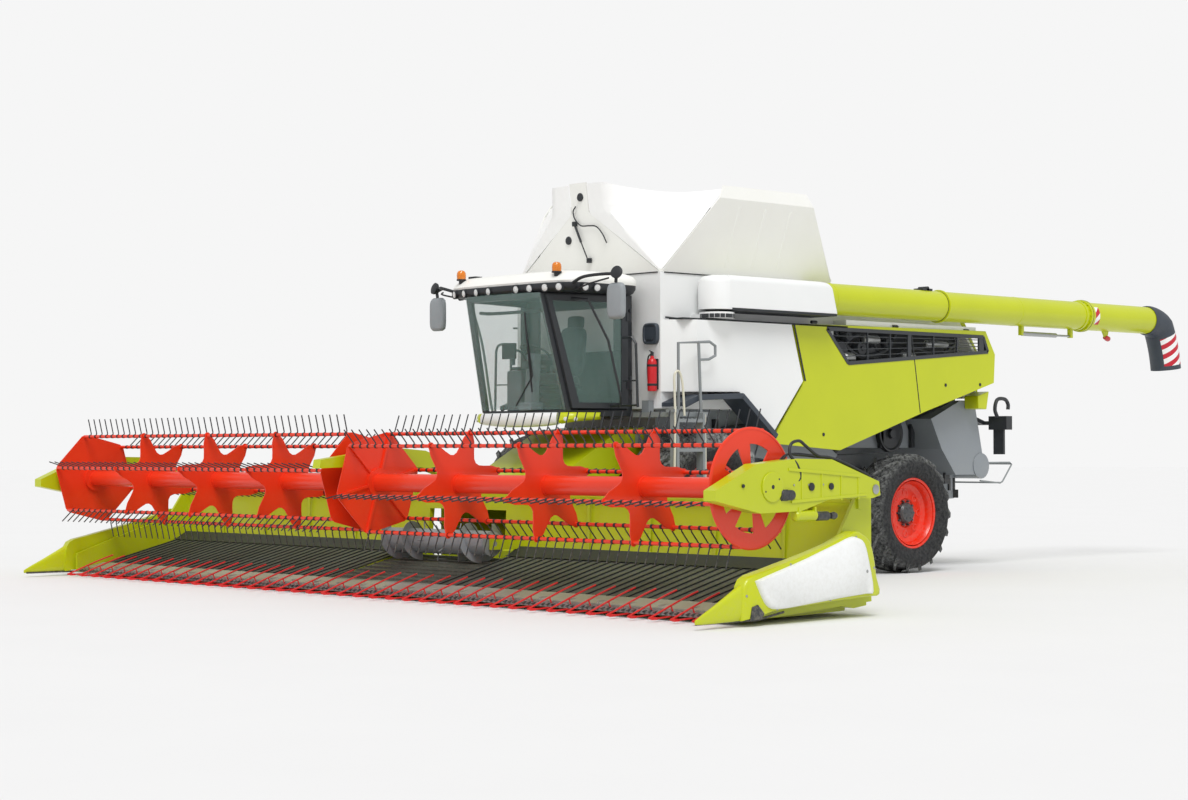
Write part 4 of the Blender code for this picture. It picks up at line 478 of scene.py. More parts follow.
black_plastic = moulded("black moulded polypropylene", "black_plastic", "#1E2125", "#2A2D31")
dark_moulding = moulded("dark grey moulded polyethylene", "dark_panel", "#3E4650", "#353C45", grain=500.0)

COVER_LEAN = math.tan(math.radians(8))


def on_front_cover(x, z, proud):
    """A point standing proud of the front cover's outer face."""
    return (x, 3.57 - (z - 3.94) * COVER_LEAN - 0.012 - proud, z)


fittings = bmesh.new()
tube(fittings, [on_front_cover(-0.10, 4.62, 0.03), on_front_cover(0.00, 4.38, 0.04)], 0.016, 10)
tube(fittings, [on_front_cover(0.00, 4.38, 0.04), on_front_cover(0.10, 4.14, 0.045)], 0.009, 8)
for x, z in ((-0.10, 4.62), (0.10, 4.14)):
    block(fittings, on_front_cover(x - 0.03, z - 0.03, 0.05), on_front_cover(x + 0.03, z + 0.03, 0.0))
for x, z in ((0.03, 4.955), (-0.27, 4.42)):
    turned(fittings, [(0, 0.055), (0.012, 0.055), (0.020, 0.045)], on_front_cover(x, z, -0.004), (0, -1, 0),
           20)
tube(fittings, eased([on_front_cover(x, z, 0.03) for x, z in
                      ((0.46, 4.34), (0.40, 4.46), (0.30, 4.56), (0.16, 4.58), (0.02, 4.59), (-0.08, 4.68),
                       (-0.10, 4.78), (-0.04, 4.84))], 4), 0.009, 8)
fit("front_cover_fittings", fittings, "tank_cover_front", black_plastic, 0.002)

side_struts = bmesh.new()
for x, z, far_x, far_z, thick in ((1.40, 4.16, 1.50, 4.52, 0.009), (1.50, 4.52, 1.585, 4.76, 0.017)):
    tube(side_struts, [(x - 0.05, 3.80 + (z - 4.0) * 0.6, z),
                       (far_x - 0.05, 3.80 + (far_z - 4.0) * 0.6, far_z)],
         thick, 10)
pair("side_cover_strut", side_struts, "tank_cover_{}", black_plastic)

# Ribs moulded into the covers' outer faces stiffen them; a black rubber seal runs on the rim.
ribs = bmesh.new()
lean = math.radians(19)
for y in (4.72, 5.21, 5.70):
    foot = Vector((1.33 + 0.10 * math.sin(lean), y, 3.95 + 0.10 * math.cos(lean)))
    head = Vector((1.33 + 0.90 * math.sin(lean), y, 3.95 + 0.90 * math.cos(lean)))
    strut(ribs, foot, head, 0.05, 0.012, (0, 1, 0))
pair("side_cover_ribs", ribs, "tank_cover_{}", gel_coat, 0.004)
seal = bmesh.new()
for out in (1.347, -1.347):
    tube(seal, [(out, 3.62, 3.925), (out, 6.80, 3.925)], 0.008, 8)
for y in (3.543, 6.877):
    tube(seal, [(-1.30, y, 3.925), (1.30, y, 3.925)], 0.008, 8)
fit("tank_rim_seal", seal, "machine", black_plastic)

# Coated canvas gussets, cut as folded triangles, laced between each end cover and side cover.
canvas, tree, shader, place = begin_finish("white polyvinyl-coated polyester canvas", "cream_cover")
wrinkles_and_crease_shade = add(tree, "ShaderNodeTexNoise", {"Scale": 3.2, "Detail": 3.0, "Distortion": 0.8}, {"Vector": place})
# The base cloth's threads lie 0.9 mm apart; at this distance they are drawn 9 mm apart.
warp = add(tree, "ShaderNodeTexWave", {"Scale": 17.0, "bands_direction": "Z"}, {"Vector": place})
weft = add(tree, "ShaderNodeTexWave", {"Scale": 17.0, "bands_direction": "X"}, {"Vector": place})
weave = add(tree, "ShaderNodeMath", {"operation": "MAXIMUM"},
            {0: warp.outputs["Fac"], 1: weft.outputs["Fac"]})
# Painted shade: the canvas is coloured a little darker in the hollows of its wrinkles and lighter on their
# crests, by the same pattern that raises them.
tint(tree, shader, wrinkles_and_crease_shade.outputs["Fac"], "#EFEFED", "#FAFAF9")
shader.inputs["Roughness"].default_value = 0.62
shader.inputs["Sheen Weight"].default_value = 0.15
cloth_bump = add(tree, "ShaderNodeBump", {"Strength": 0.08, "Distance": 0.002},
                 {"Height": weave.outputs[0]})
wrinkle = add(tree, "ShaderNodeBump", {"Strength": 0.35, "Distance": 0.03},
              {"Height": wrinkles_and_crease_shade.outputs["Fac"], "Normal": cloth_bump.outputs[0]})
tree.links.new(wrinkle.outputs[0], shader.inputs["Normal"])

TANK_MID_Y = 5.21
GUSSET_ROWS = 18
GUSSET_COLUMNS = 14
SEAM_AT = 4           # columns that lie flat against the end cover, up to the sewn fold


def along(route, share):
    """A point a share of the way along a two-part route, its knee at 0.62."""
    first, knee, last = (Vector(spot) for spot in route)
    return first.lerp(knee, share / 0.62) if share < 0.62 else knee.lerp(last, (share - 0.62) / 0.38)


END_EDGE = ((1.300, 3.552, 3.965), (0.170, 3.446, 4.740), (0.170, 3.392, 5.118))
SEWN_FOLD = ((1.312, 3.556, 3.968), (0.520, 3.436, 4.760), (0.470, 3.384, 5.112))
SIDE_EDGE = ((1.334, 3.596, 3.972), (1.560, 4.110, 4.640), (1.622, 4.408, 5.006))
for end, which in ((1, "front"), (-1, "rear")):
    for hand, side in ((1, "left"), (-1, "right")):
        sheet = bmesh.new()
        rows = []
        for j in range(GUSSET_ROWS + 1):
            share = j / GUSSET_ROWS
            inner, fold, outer = (along(route, share) for route in (END_EDGE, SEWN_FOLD, SIDE_EDGE))
            row = []
            for k in range(GUSSET_COLUMNS + 1):
                if k <= SEAM_AT:
                    spot = inner.lerp(fold, k / SEAM_AT)
                else:
                    across = (k - SEAM_AT) / (GUSSET_COLUMNS - SEAM_AT)
                    spot = fold.lerp(outer, across)
                    bow = math.sin(math.pi * across)
                    spot += Vector((-0.05, 0.09, 0.0)) * bow * share
                    spot.z -= 0.07 * bow * share ** 3
                    spot += Vector((0.010, -0.014, 0)) * bow * math.sin(9.0 * across + 5.0 * share)
                y = spot.y if end > 0 else 2 * TANK_MID_Y - spot.y
                row.append(sheet.verts.new((hand * spot.x, y, spot.z)))
            rows.append(row)
        for one, two in zip(rows, rows[1:]):
            for k in range(GUSSET_COLUMNS):
                sheet.faces.new((one[k], one[k + 1], two[k + 1], two[k]))
        cut_area = sum(face.calc_area() for face in sheet.faces)
        gusset = fit(f"gusset_{which}_{side}", sheet, "machine", canvas, crease=60)
        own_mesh(gusset)

# ---------------------------------------------------------------- side panels
# Lime panels hinged at the top, pressed from one sheet with a long cooling opening.  A black
# frame with flat bars covers it; the engine's coolers, pulleys and pipes show behind.
lime_enamel = enamel("lime enamel on sheet steel", "lime_paint", "#C6CF00", "#BAC400", soil=0.12)
recoat(["side_panel_left", "side_panel_right"], lime_enamel)


def band_low(y):
    """Lower edge of the cooling opening."""
    return 2.85 + (y - 6.86) * 0.24 / 3.12


grille = bmesh.new()
TOP = 3.305
X_IN, X_OUT = 1.556, 1.606
frame_line = [(6.43, TOP), (6.865, 2.855), (9.97, band_low(9.97) + 0.004), (9.865, TOP)]
for start, end in zip(frame_line, frame_line[1:] + frame_line[:1]):
    strut(grille, ((X_IN + X_OUT) / 2 + 0.002, *start), ((X_IN + X_OUT) / 2 + 0.002, *end), X_OUT - X_IN,
          0.05, (1, 0, 0))
for y, wide in ((7.28, 0.016), (7.76, 0.016), (8.18, 0.075), (8.72, 0.020), (9.26, 0.020), (9.82, 0.11)):
    block(grille, (1.572, y - wide / 2, band_low(y)), (1.602, y + wide / 2, TOP))
for k in range(1, 5):
    share = k / 5
    starts = 6.865 - 0.435 * share
    z_start = 2.855 + (TOP - 2.855) * share
    z_end = band_low(9.9) + (TOP - band_low(9.9)) * share
    tube(grille, [(1.586, starts, z_start), (1.586, 9.9, z_end)], 0.007, 6)
pair("cooling_grille", grille, "side_panel_{}", hub_iron, 0.003)

trim = bmesh.new()
plate(trim, [(8.215, 3.30), (8.230, 3.30), (8.415, 2.205), (8.400, 2.200)], "x", 1.596, 1.6035)
plate(trim, [(5.98, 2.60), (5.76, 3.35), (5.785, 3.35), (6.005, 2.60)], "x", 1.594, 1.603)
for y in (6.2, 7.9, 9.5):
    turned(trim, [(0, 0.022), (0.10, 0.022)], (1.57, y - 0.05, 3.385), (0, 1, 0), 12)
pair("panel_seam", trim, "side_panel_{}", black_plastic)

latches = bmesh.new()
for y, z in ((8.98, 2.60), (6.35, 1.90), (9.78, 2.62)):
    turned(latches, [(0, 0.024), (0.006, 0.024), (0.008, 0.018)], (1.6005, y, z), (1, 0, 0), 16)
pair("panel_latches", latches, "side_panel_{}", black_plastic)

lips = bmesh.new()
for start, end in (((5.44, 1.935), (5.99, 2.60)), ((6.70, 1.70), (8.50, 2.225)),
                   ((8.52, 2.23), (10.10, 2.655)),
                   ((5.24, 1.80), (6.68, 1.70))):
    strut(lips, (1.580, *start), (1.580, *end), 0.035, 0.018, (1, 0, 0))
pair("panel_folded_lip", lips, "side_panel_{}", lime_enamel, 0.005)

cooler = bmesh.new()
block(cooler, (1.10, 6.98, 2.30), (1.14, 9.80, 3.36))
pair("engine_bay_back", cooler, "machine", black_plastic)
bay = bmesh.new()
for y, z, r, t in ((6.98, 3.02, 0.16, 0.10), (7.40, 3.08, 0.11, 0.12), (7.72, 2.98, 0.15, 0.06),
                   (8.02, 3.16, 0.09, 0.09),
                   (7.10, 3.24, 0.07, 0.14)):
    turned(bay, [(0, r * 0.9), (t * 0.3, r), (t * 0.7, r), (t, r * 0.85), (t, r * 0.30),
                 (t + 0.02, r * 0.25)],
           (1.28, y, z), (1, 0, 0), 28)
for route in ([(1.30, 6.9, 2.9), (1.38, 7.2, 3.22), (1.36, 7.6, 3.22), (1.3, 7.9, 2.95)],
              [(1.25, 7.0, 3.3), (1.40, 7.3, 2.98), (1.38, 7.9, 3.05), (1.25, 8.3, 3.3)],
              [(1.30, 8.1, 2.95), (1.36, 8.6, 3.12), (1.34, 9.1, 3.02), (1.30, 9.6, 3.2)]):
    tube(bay, eased(route), 0.026, 10)
pair("engine_bay_parts", bay, "machine", hub_iron)
tanks = bmesh.new()
for y, z, r, long in ((7.06, 2.93, 0.085, 0.22), (7.55, 3.20, 0.06, 0.34), (8.35, 2.98, 0.07, 0.30),
                      (9.0, 3.18, 0.05, 0.5)):
    turned(tanks, [(0, r * 0.5), (0.012, r * 0.85), (0.03, r), (long - 0.03, r), (long - 0.012, r * 0.85),
                   (long, r * 0.5)],
           (1.42, y - long / 2, z), (0, 1, 0), 24)
bright_steel = enamel("machined and zinc-plated steel", "bare_steel", "#B9BBB9", "#9DA09F", rough=0.34,
                      metal=0.9)
pair("engine_bay_canisters", tanks, "machine", bright_steel, 0.002)

# ---------------------------------------------------------------- deck, rear hood and fenders
# White deck over the engine, a lime rear hood, the grey chopper housing with its round rotor
# ends and two spreader discs, a tubular guard, and dark polyethylene fenders.
recoat(["engine_deck"], white_enamel)
recoat(["straw_hood"], grey_sheet)
recoat(["fender_left", "fender_right"], dark_moulding)
recoat(["rear_light_bar"], black_steel)

tail = bmesh.new()
block(tail, (-1.31, 10.080, 2.46), (1.31, 10.115, 3.10))
plate(tail, [(9.70, 3.535), (9.80, 3.545), (10.115, 3.115), (10.085, 3.095)], "x", -1.31, 1.31)
plate(tail, [(9.83, 2.46), (10.09, 2.53), (10.03, 2.27), (9.84, 2.28)], "x", 1.28, 1.53)
plate(tail, [(9.83, 2.46), (10.09, 2.53), (10.03, 2.27), (9.84, 2.28)], "x", -1.53, -1.28)
fit("rear_hood_skin", tail, "machine", lime_enamel, 0.010)
louvres = bmesh.new()
for k in range(7):
    block(louvres, (-0.85, 10.112, 2.62 + k * 0.062), (0.85, 10.130, 2.648 + k * 0.062))
fit("rear_hood_louvres", louvres, "machine", black_plastic, 0.003)

rotor = bmesh.new()
turned(rotor, [(0, 0.10), (0.015, 0.185), (2.605, 0.185), (2.62, 0.10)], (-1.31, 10.215, 1.455), (1, 0, 0),
       40)
fit("chopper_rotor_case", rotor, "machine", grey_sheet, 0.003)
spreading = bmesh.new()
for x in (-0.62, 0.62):
    for k in range(6):
        angle = math.radians(60 * k + 12)
        start = (x + 0.10 * math.cos(angle), 9.85 + 0.10 * math.sin(angle), 1.05)
        end = (x + 0.43 * math.cos(angle + 0.25), 9.85 + 0.43 * math.sin(angle + 0.25), 1.05)
        strut(spreading, start, end, 0.012, 0.12, (-math.sin(angle), math.cos(angle), 0))
    for k in range(14):
        angle = math.tau * k / 14
        block(spreading, (x + 0.36 * math.cos(angle) - 0.02, 9.85 + 0.36 * math.sin(angle) - 0.02, 1.10),
              (x + 0.36 * math.cos(angle) + 0.02, 9.85 + 0.36 * math.sin(angle) + 0.02, 1.28))
for x in range(-5, 6):
    block(spreading, (x * 0.22 - 0.015, 9.58, 1.20), (x * 0.22 + 0.015, 9.70, 1.36))
fit("spreader_vanes", spreading, "machine", black_steel, 0.002)

guard = bmesh.new()
for x in (1.28, -1.28):
    tube(guard, [(x, 10.35, 1.50), (x, 10.92, 1.50), (x, 10.97, 1.47), (x, 10.74, 1.22), (x, 10.68, 1.20),
                 (x, 10.2, 1.24)],
         0.012, 8)
tube(guard, [(-1.28, 10.96, 1.48), (1.28, 10.96, 1.48)], 0.012, 8)
tube(guard, [(-1.28, 10.70, 1.205), (1.28, 10.70, 1.205)], 0.012, 8)
rail_grey = enamel("grey enamel on bent steel tube", "rail_steel", "#8B9092", "#7F8587", rough=0.40)
fit("rear_guard", guard, "machine", rail_grey)

slots = bmesh.new()
for k in range(3):
    plate(slots, [(4.28 + k * 0.13, 2.4210), (4.36 + k * 0.13, 2.4215), (4.40 + k * 0.13, 2.428),
                  (4.32 + k * 0.13, 2.4275)],
          "x", 1.44, 1.66)
pair("fender_slots", slots, "machine", black_plastic)
rim_fold = bmesh.new()
strut(rim_fold, (1.715, 3.58, 2.25), (1.715, 3.86, 2.355), 0.022, 0.07, (1, 0, 0))
strut(rim_fold, (1.715, 3.84, 2.352), (1.715, 4.66, 2.385), 0.022, 0.07, (1, 0, 0))
strut(rim_fold, (1.715, 4.65, 2.388), (1.715, 5.30, 1.87), 0.022, 0.07, (1, 0, 0))
pair("fender_edge", rim_fold, "machine", dark_moulding, 0.006)

# ---------------------------------------------------------------- lamps and reflectors
# Acrylic lenses, clear, red and amber, moulded with a prism pattern on the back, and
# retro-reflecting sheet striped red and white.


def lens(name, code, rough=0.12):
    """Coloured acrylic: glossy, a little deeper in colour between its moulded prisms."""
    acrylic, tree, shader, place = begin_finish(name, "tinted_glass")
    prisms = add(tree, "ShaderNodeTexVoronoi", {"Scale": 90.0}, {"Vector": place})
    deep = [level * 0.62 for level in linear(code)[:3]] + [1.0]
    tone = add(tree, "ShaderNodeMix", {"data_type": "RGBA", 6: linear(code), 7: deep},
               {0: prisms.outputs["Distance"]})
    tree.links.new(tone.outputs[2], shader.inputs["Base Color"])
    shader.inputs["Roughness"].default_value = rough
    shader.inputs["IOR"].default_value = 1.49
    shader.inputs["Coat Weight"].default_value = 0.6
    emboss(tree, shader, 0.25, 0.002, prisms.outputs["Distance"])
    return acrylic


red_lens = lens("red acrylic lamp lens", "#D8101C")
amber_lens = lens("amber acrylic beacon dome", "#F58A12")
clear_lens = lens("clear acrylic lamp lens", "#F2F4F2")

striped, tree, shader, place = begin_finish("retro-reflecting sheet striped red and white", "red_paint")
slant = add(tree, "ShaderNodeVectorMath", {"operation": "DOT_PRODUCT", 1: (0.0, 0.62, -0.78)}, {0: place})
# Stripes 70 mm wide, at some 40 degrees.
phase = add(tree, "ShaderNodeMath", {"operation": "MULTIPLY", 1: 1 / 0.14}, {0: slant.outputs["Value"]})
turn = add(tree, "ShaderNodeMath", {"operation": "FRACT"}, {0: phase.outputs[0]})
stripe = add(tree, "ShaderNodeMath", {"operation": "GREATER_THAN", 1: 0.5}, {0: turn.outputs[0]})
beads = add(tree, "ShaderNodeTexVoronoi", {"Scale": 260.0}, {"Vector": place})
tint(tree, shader, stripe.outputs[0], "#C3142C", "#F1F1F0")
shader.inputs["Roughness"].default_value = 0.35
emboss(tree, shader, 0.15, 0.001, beads.outputs["Distance"])

rear_lenses = bmesh.new()
for x in (-1.3, 1.3):
    block(rear_lenses, (x - 0.14, 10.738, 2.00), (x - 0.01, 10.752, 2.16))
    block(rear_lenses, (x - 0.07, 10.658, 1.66), (x + 0.07, 10.672, 1.84))
fit("rear_lamp_lenses", rear_lenses, "machine", red_lens, 0.005)
turn_lenses = bmesh.new()
for x in (-1.3, 1.3):
    block(turn_lenses, (x + 0.01, 10.738, 2.00), (x + 0.14, 10.752, 2.16))
fit("rear_turn_lenses", turn_lenses, "machine", amber_lens, 0.005)
lamp_hooks = bmesh.new()
for x in (-1.3, 1.3):
    tube(lamp_hooks, eased([(x, 10.60, 2.16), (x, 10.54, 2.28), (x, 10.60, 2.42), (x, 10.78, 2.43),
                            (x, 10.86, 2.36),
                            (x, 10.86, 2.28)]), 0.028, 10)
fit("rear_lamp_arms", lamp_hooks, "machine", black_steel)

# ---------------------------------------------------------------- cab frame
# A welded frame of square pillars under black enamel, on a pressed floor, bolted to the tank's
# front.  Grab hoops and hand rails are bent tube; the steering column stands on the floor.
CAB_BACK_X = 1.00
CAB_TAPER = 0.25


def flank(y):
    """Half width of the cab at a station."""
    return CAB_BACK_X - CAB_TAPER * (3.29 - y)


cab_steel = enamel("black enamel on welded cab frame", "black_plastic", "#23272B", "#2B2F34", rough=0.42)
cab = bmesh.new()
foot, head = flank(2.48), flank(2.12)
plate(cab, [(-foot + 0.02, 2.46), (foot - 0.02, 2.46), (1.0, 3.29), (1.0, 3.39), (-1.0, 3.39),
            (-1.0, 3.29)], "z", 2.12, 2.20)
for side in (-1, 1):
    strut(cab, (side * (flank(2.50) - 0.037), 2.50, 2.18), (side * (flank(2.15) - 0.037), 2.15, 3.63), 0.07,
          0.07,
          (-side * CAB_TAPER, -1, 0))
    block(cab, (side * 0.955 - 0.045, 3.295, 2.19), (side * 0.955 + 0.045, 3.39, 3.64))
    strut(cab, (side * (head - 0.055), 2.13, 3.605), (side * 0.945, 3.34, 3.605), 0.06, 0.07, (1, 0, 0))
    block(cab, (side * 0.62 - 0.06, 3.31, 2.09), (side * 0.62 + 0.06, 3.5497, 2.32))
block(cab, (-head + 0.03, 2.12, 3.57), (head - 0.03, 2.18, 3.64))
for low, high in (((-0.96, 3.35, 2.19), (0.96, 3.39, 2.95)), ((-0.96, 3.35, 3.50), (0.96, 3.39, 3.64)),
                  ((-0.96, 3.35, 2.95), (-0.70, 3.39, 3.50)), ((0.70, 3.35, 2.95), (0.96, 3.39, 3.50))):
    block(cab, low, high)
for z in (2.45, 3.30):
    turned(cab, [(0, 0.016), (0.0495, 0.016)], (1.045, 3.32, z + 0.1205), (0, 0, 1), 12)
    block(cab, (0.98, 3.314, z + 0.125), (1.047, 3.332, z + 0.165))
cab_piece = fit("cab_pillars_and_floor", cab, "machine", cab_steel, 0.006)
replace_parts(cab_piece, "cab_frame")

hoop = bmesh.new()
low = 2.14
tube(hoop, eased([(-1.022, 3.15, low), (-1.022, 3.15, 2.9), (-1.026, 3.15, 3.03), (-1.075, 3.15, 3.09),
                  (-1.24, 3.15, 3.09), (-1.305, 3.15, 3.03), (-1.32, 3.15, 2.9),
                  (-1.34, 3.15, low)], 5), 0.017, 12)
tube(hoop, [(-1.022, 3.15, 2.56), (-1.33, 3.15, 2.56)], 0.010, 8)
tube(hoop, [(-0.95, 3.15, low + 0.025), (-1.34, 3.15, low + 0.025)], 0.014, 8)
tube(hoop, eased([(-flank(2.50) + 0.05, 2.50, 3.60), (-1.08, 2.55, 3.58), (-1.18, 2.80, 3.05),
                  (-1.215, 2.98, 2.27), (-1.17, 3.02, 2.17),
                  (-flank(3.04) + 0.06, 3.04, 2.16)], 5), 0.017, 12)
fit("right_grab_rails", hoop, "machine", rail_grey)

wheel_mid = Vector((0.10, 2.56, 2.94))
wheel_way = Vector((0, 0.45, 0.9)).normalized()
steering = bmesh.new()
rim_route = circle(wheel_mid, wheel_way, 0.188, 36)
loft(steering, [circle(spot, rim_route[(k + 1) % 36] - rim_route[k - 1], 0.013, 8)
                for k, spot in enumerate(rim_route)], loop=True)
for angle in (0.5, math.pi - 0.5, -math.pi / 2):
    spoke = circle(wheel_mid, wheel_way, 0.185, 1, angle)[0]
    strut(steering, wheel_mid - wheel_way * 0.02, spoke, 0.035, 0.010, wheel_way.cross(spoke - wheel_mid))
turned(steering, [(-0.04, 0.045), (0.006, 0.052), (0.014, 0.040)], wheel_mid - wheel_way * 0.01, wheel_way,
       20)
fit("steering_wheel", steering, "machine", black_plastic)
console = bmesh.new()
strut(console, (0.10, 2.50, 2.20), wheel_mid - wheel_way * 0.03, 0.15, 0.13, (1, 0, 0))
block(console, (-0.02, 2.38, 2.20), (0.22, 2.60, 2.30))
block(console, (-0.62, 2.72, 2.20), (-0.34, 3.25, 2.72))
block(console, (-0.34, 2.52, 2.78), (-0.30, 2.60, 3.02))
trim_grey = moulded("grey moulded ABS trim", "grey_panel", "#7C858A", "#6F787E")
fit("steering_column_cover", console, "machine", trim_grey, 0.02)
screens = bmesh.new()
block(screens, (-0.46, 2.50, 2.86), (-0.22, 2.54, 3.06))
block(screens, (-0.42, 2.62, 2.72), (-0.28, 3.10, 2.76))
tube(screens, eased([(-0.40, 2.9, 2.75), (-0.42, 2.8, 2.95), (-0.38, 2.6, 2.98), (-0.34, 2.54, 2.98)]),
     0.016, 10)
block(screens, (0.02, 2.40, 2.72), (0.18, 2.44, 2.82))
tube(screens, eased([(-0.70, 2.35, 3.45), (-0.3, 2.2, 3.42), (0.3, 2.2, 3.42), (0.7, 2.35, 3.45)]), 0.022,
     8)
fit("screens_and_controls", screens, "machine", black_plastic, 0.010)

# ---------------------------------------------------------------- driver's seat
# Moulded foam in a dark woven cover, with bolsters and a headrest, on a sprung pedestal.
seat_cloth, tree, shader, place = begin_finish("dark woven polyester seat cover", "seat_cloth")
# Yarns lie 1.2 mm apart; they are drawn 6 mm apart.
yarn = add(tree, "ShaderNodeTexWave", {"Scale": 26.0, "bands_direction": "DIAGONAL"}, {"Vector": place})
wear = add(tree, "ShaderNodeTexNoise", {"Scale": 9.0, "Detail": 4.0}, {"Vector": place})
tint(tree, shader, wear.outputs["Fac"], "#22262C", "#363C45")
shader.inputs["Roughness"].default_value = 0.9
shader.inputs["Sheen Weight"].default_value = 0.35
emboss(tree, shader, 0.3, 0.002, yarn.outputs["Fac"])


def pad(name, centre, size, tilt, crown):
    """A crowned foam pad whose sides pull in between its corners, with two sewn channels."""
    shape = bmesh.new()
    columns, turns = 20, 28
    rings = []
    for j in range(columns + 1):
        polar = math.pi * (0.02 + 0.96 * j / columns)
        ring = []
        for k in range(turns):
            angle = math.tau * k / turns
            flat = [math.copysign(abs(value) ** 0.42, value) for value in
                    (math.sin(polar) * math.cos(angle), math.sin(polar) * math.sin(angle), math.cos(polar))]
            u, v, w = flat
            thick = size[2] / 2 * (1 + crown * (1 - u * u) * (1 - w * w))
            groove = 0.10 * math.exp(-((abs(u) - 0.55) / 0.07) ** 2)
            pull = 1 - 0.04 * (1 - w * w) * abs(u) - 0.03 * (1 - v * v)
            ring.append((size[0] / 2 * u * pull, v * thick * (1 - groove), size[1] / 2 * w * pull))
        rings.append(ring)
    loft(shape, rings)
    turn = Matrix.Rotation(math.radians(tilt), 4, "X")
    for vert in shape.verts:
        vert.co = Vector(centre) + turn @ vert.co
    made = fit(name, shape, "machine", seat_cloth, crease=80)
    rounded = made.modifiers.new("foam", "SUBSURF")
    rounded.levels = 1
    rounded.render_levels = 1
    return made


seat = pad("seat_cushion", (0.10, 2.93, 2.59), (0.50, 0.48, 0.13), 84, 0.25)
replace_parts(seat, "driver_seat")
pad("seat_back", (0.10, 3.20, 2.95), (0.46, 0.66, 0.12), -7, 0.25)
pad("seat_headrest", (0.10, 3.27, 3.33), (0.27, 0.17, 0.09), -4, 0.2)
pedestal = bmesh.new()
for k in range(5):
    inset = 0.015 * (k % 2)
    block(pedestal, (-0.09 + inset, 2.82 + inset, 2.202 + k * 0.055),
          (0.29 - inset, 3.12 - inset, 2.255 + k * 0.055))
block(pedestal, (-0.12, 2.74, 2.475), (0.32, 3.16, 2.515))
tube(pedestal, [(0.04, 3.26, 3.22), (0.04, 3.27, 3.30)], 0.007, 8)
tube(pedestal, [(0.16, 3.26, 3.22), (0.16, 3.27, 3.30)], 0.007, 8)
strut(pedestal, (-0.22, 3.10, 2.54), (-0.26, 3.10, 2.80), 0.05, 0.03, (0, 1, 0))
block(pedestal, (-0.31, 2.74, 2.79), (-0.21, 3.14, 2.86))
fit("seat_pedestal", pedestal, "machine", black_plastic, 0.008)

# ---------------------------------------------------------------- cab glass
# Toughened glass with a light green tint, bonded into the frame; the windscreen is bent.
glass, tree, shader, place = begin_finish("green-tinted toughened glass", "tinted_glass")
film = add(tree, "ShaderNodeTexNoise", {"Scale": 3.0, "Detail": 5.0}, {"Vector": place})
tint(tree, shader, film.outputs["Fac"], "#8FB5AC", "#A5C4BC")
dull = add(tree, "ShaderNodeMapRange", {"To Min": 0.02, "To Max": 0.07}, {"Value": film.outputs["Fac"]})
tree.links.new(dull.outputs[0], shader.inputs["Roughness"])
shader.inputs["Alpha"].default_value = 0.16
shader.inputs["IOR"].default_value = 1.52
recoat(["right_window", "door_glass"], glass)

screen = bmesh.new()
levels = []
for half, y, z in ((foot - 0.01, 2.4512, 2.205), ((foot + head) / 2 - 0.01, 2.2762, 2.92),
                   (head - 0.01, 2.1012, 3.635)):
    shares = [2 * k / 28 - 1 for k in range(29)]
    outer_line = [(s * half, y - 0.13 * (1 - s * s) - 0.008, z) for s in shares]
    inner_line = [(s * half, y - 0.13 * (1 - s * s), z) for s in shares[::-1]]
    levels.append(outer_line + inner_line)
loft(screen, levels)
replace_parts(fit("bent_windscreen", screen, "machine", glass), "windscreen")
wiper = bmesh.new()
tube(wiper, [(0.05, 2.29, 2.26), (0.42, 2.23, 2.62), (0.46, 2.10, 3.15)], 0.010, 8)
strut(wiper, (0.38, 2.26, 2.42), (0.50, 2.03, 3.40), 0.020, 0.012, (1, 0, 0))
fit("windscreen_wiper", wiper, "machine", black_plastic)
recoat(["cab_door"], cab_steel)

# ---------------------------------------------------------------- cab roof, beacons and mirrors
# A glass-fibre roof with a white gel coat over a black visor that carries the work lamps; two
# amber beacons, and long mirrors on tube arms bolted to the roof's front corners.


def roof_ring(z, half_x, front, rear):
    """One level of the roof: a rectangle with well-rounded corners."""
    ring = []
    for k in range(56):
        angle = math.tau * k / 56
        cos, sin = math.cos(angle), math.sin(angle)
        x = math.copysign(abs(cos) ** 0.30, cos)
        y = math.copysign(abs(sin) ** 0.30, sin)
        bow = 0.05 * (1 - x * x) if y < 0 else 0.0
        ring.append((x * half_x, (front + rear) / 2 + y * (rear - front) / 2 - bow, z))
    return ring


shell = bmesh.new()
loft(shell, [roof_ring(*level) for level in (
    (3.735, 1.165, 2.165, 3.455), (3.775, 1.180, 2.150, 3.460), (3.815, 1.175, 2.175, 3.458),
    (3.860, 1.140, 2.215, 3.435), (3.895, 1.060, 2.290, 3.370), (3.913, 0.930, 2.400, 3.250),
    (3.920, 0.700, 2.560, 3.100))])
roof = fit("roof_shell", shell, "machine", gel_coat, crease=50)
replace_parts(roof, "cab_roof")
visor = bmesh.new()
loft(visor, [roof_ring(*level) for level in (
    (3.6405, 1.080, 2.215, 3.440), (3.655, 1.125, 2.165, 3.448), (3.700, 1.168, 2.140, 3.455),
    (3.750, 1.172, 2.150, 3.457))])
block(visor, (-1.0, 2.40, 3.905), (-0.86, 2.52, 3.935))
fit("roof_visor", visor, "machine", black_plastic, 0.004, crease=50)
lamp_rows = [(x, 2.12 + 0.06 * abs(x) ** 3, 3.695)
             for x in (-0.98, -0.76, -0.50, -0.26, 0.26, 0.50, 0.76, 0.98)]
bezels = bmesh.new()
lenses = bmesh.new()
for x, y, z in lamp_rows:
    turned(bezels, [(-0.02, 0.058), (0.030, 0.058), (0.034, 0.050), (0.022, 0.046)], (x, y, z),
           (0.25 * x, -1, -0.12), 20)
    turned(lenses, [(0.015, 0.046), (0.026, 0.045), (0.034, 0.030), (0.037, 0.010)], (x, y, z),
           (0.25 * x, -1, -0.12), 20)
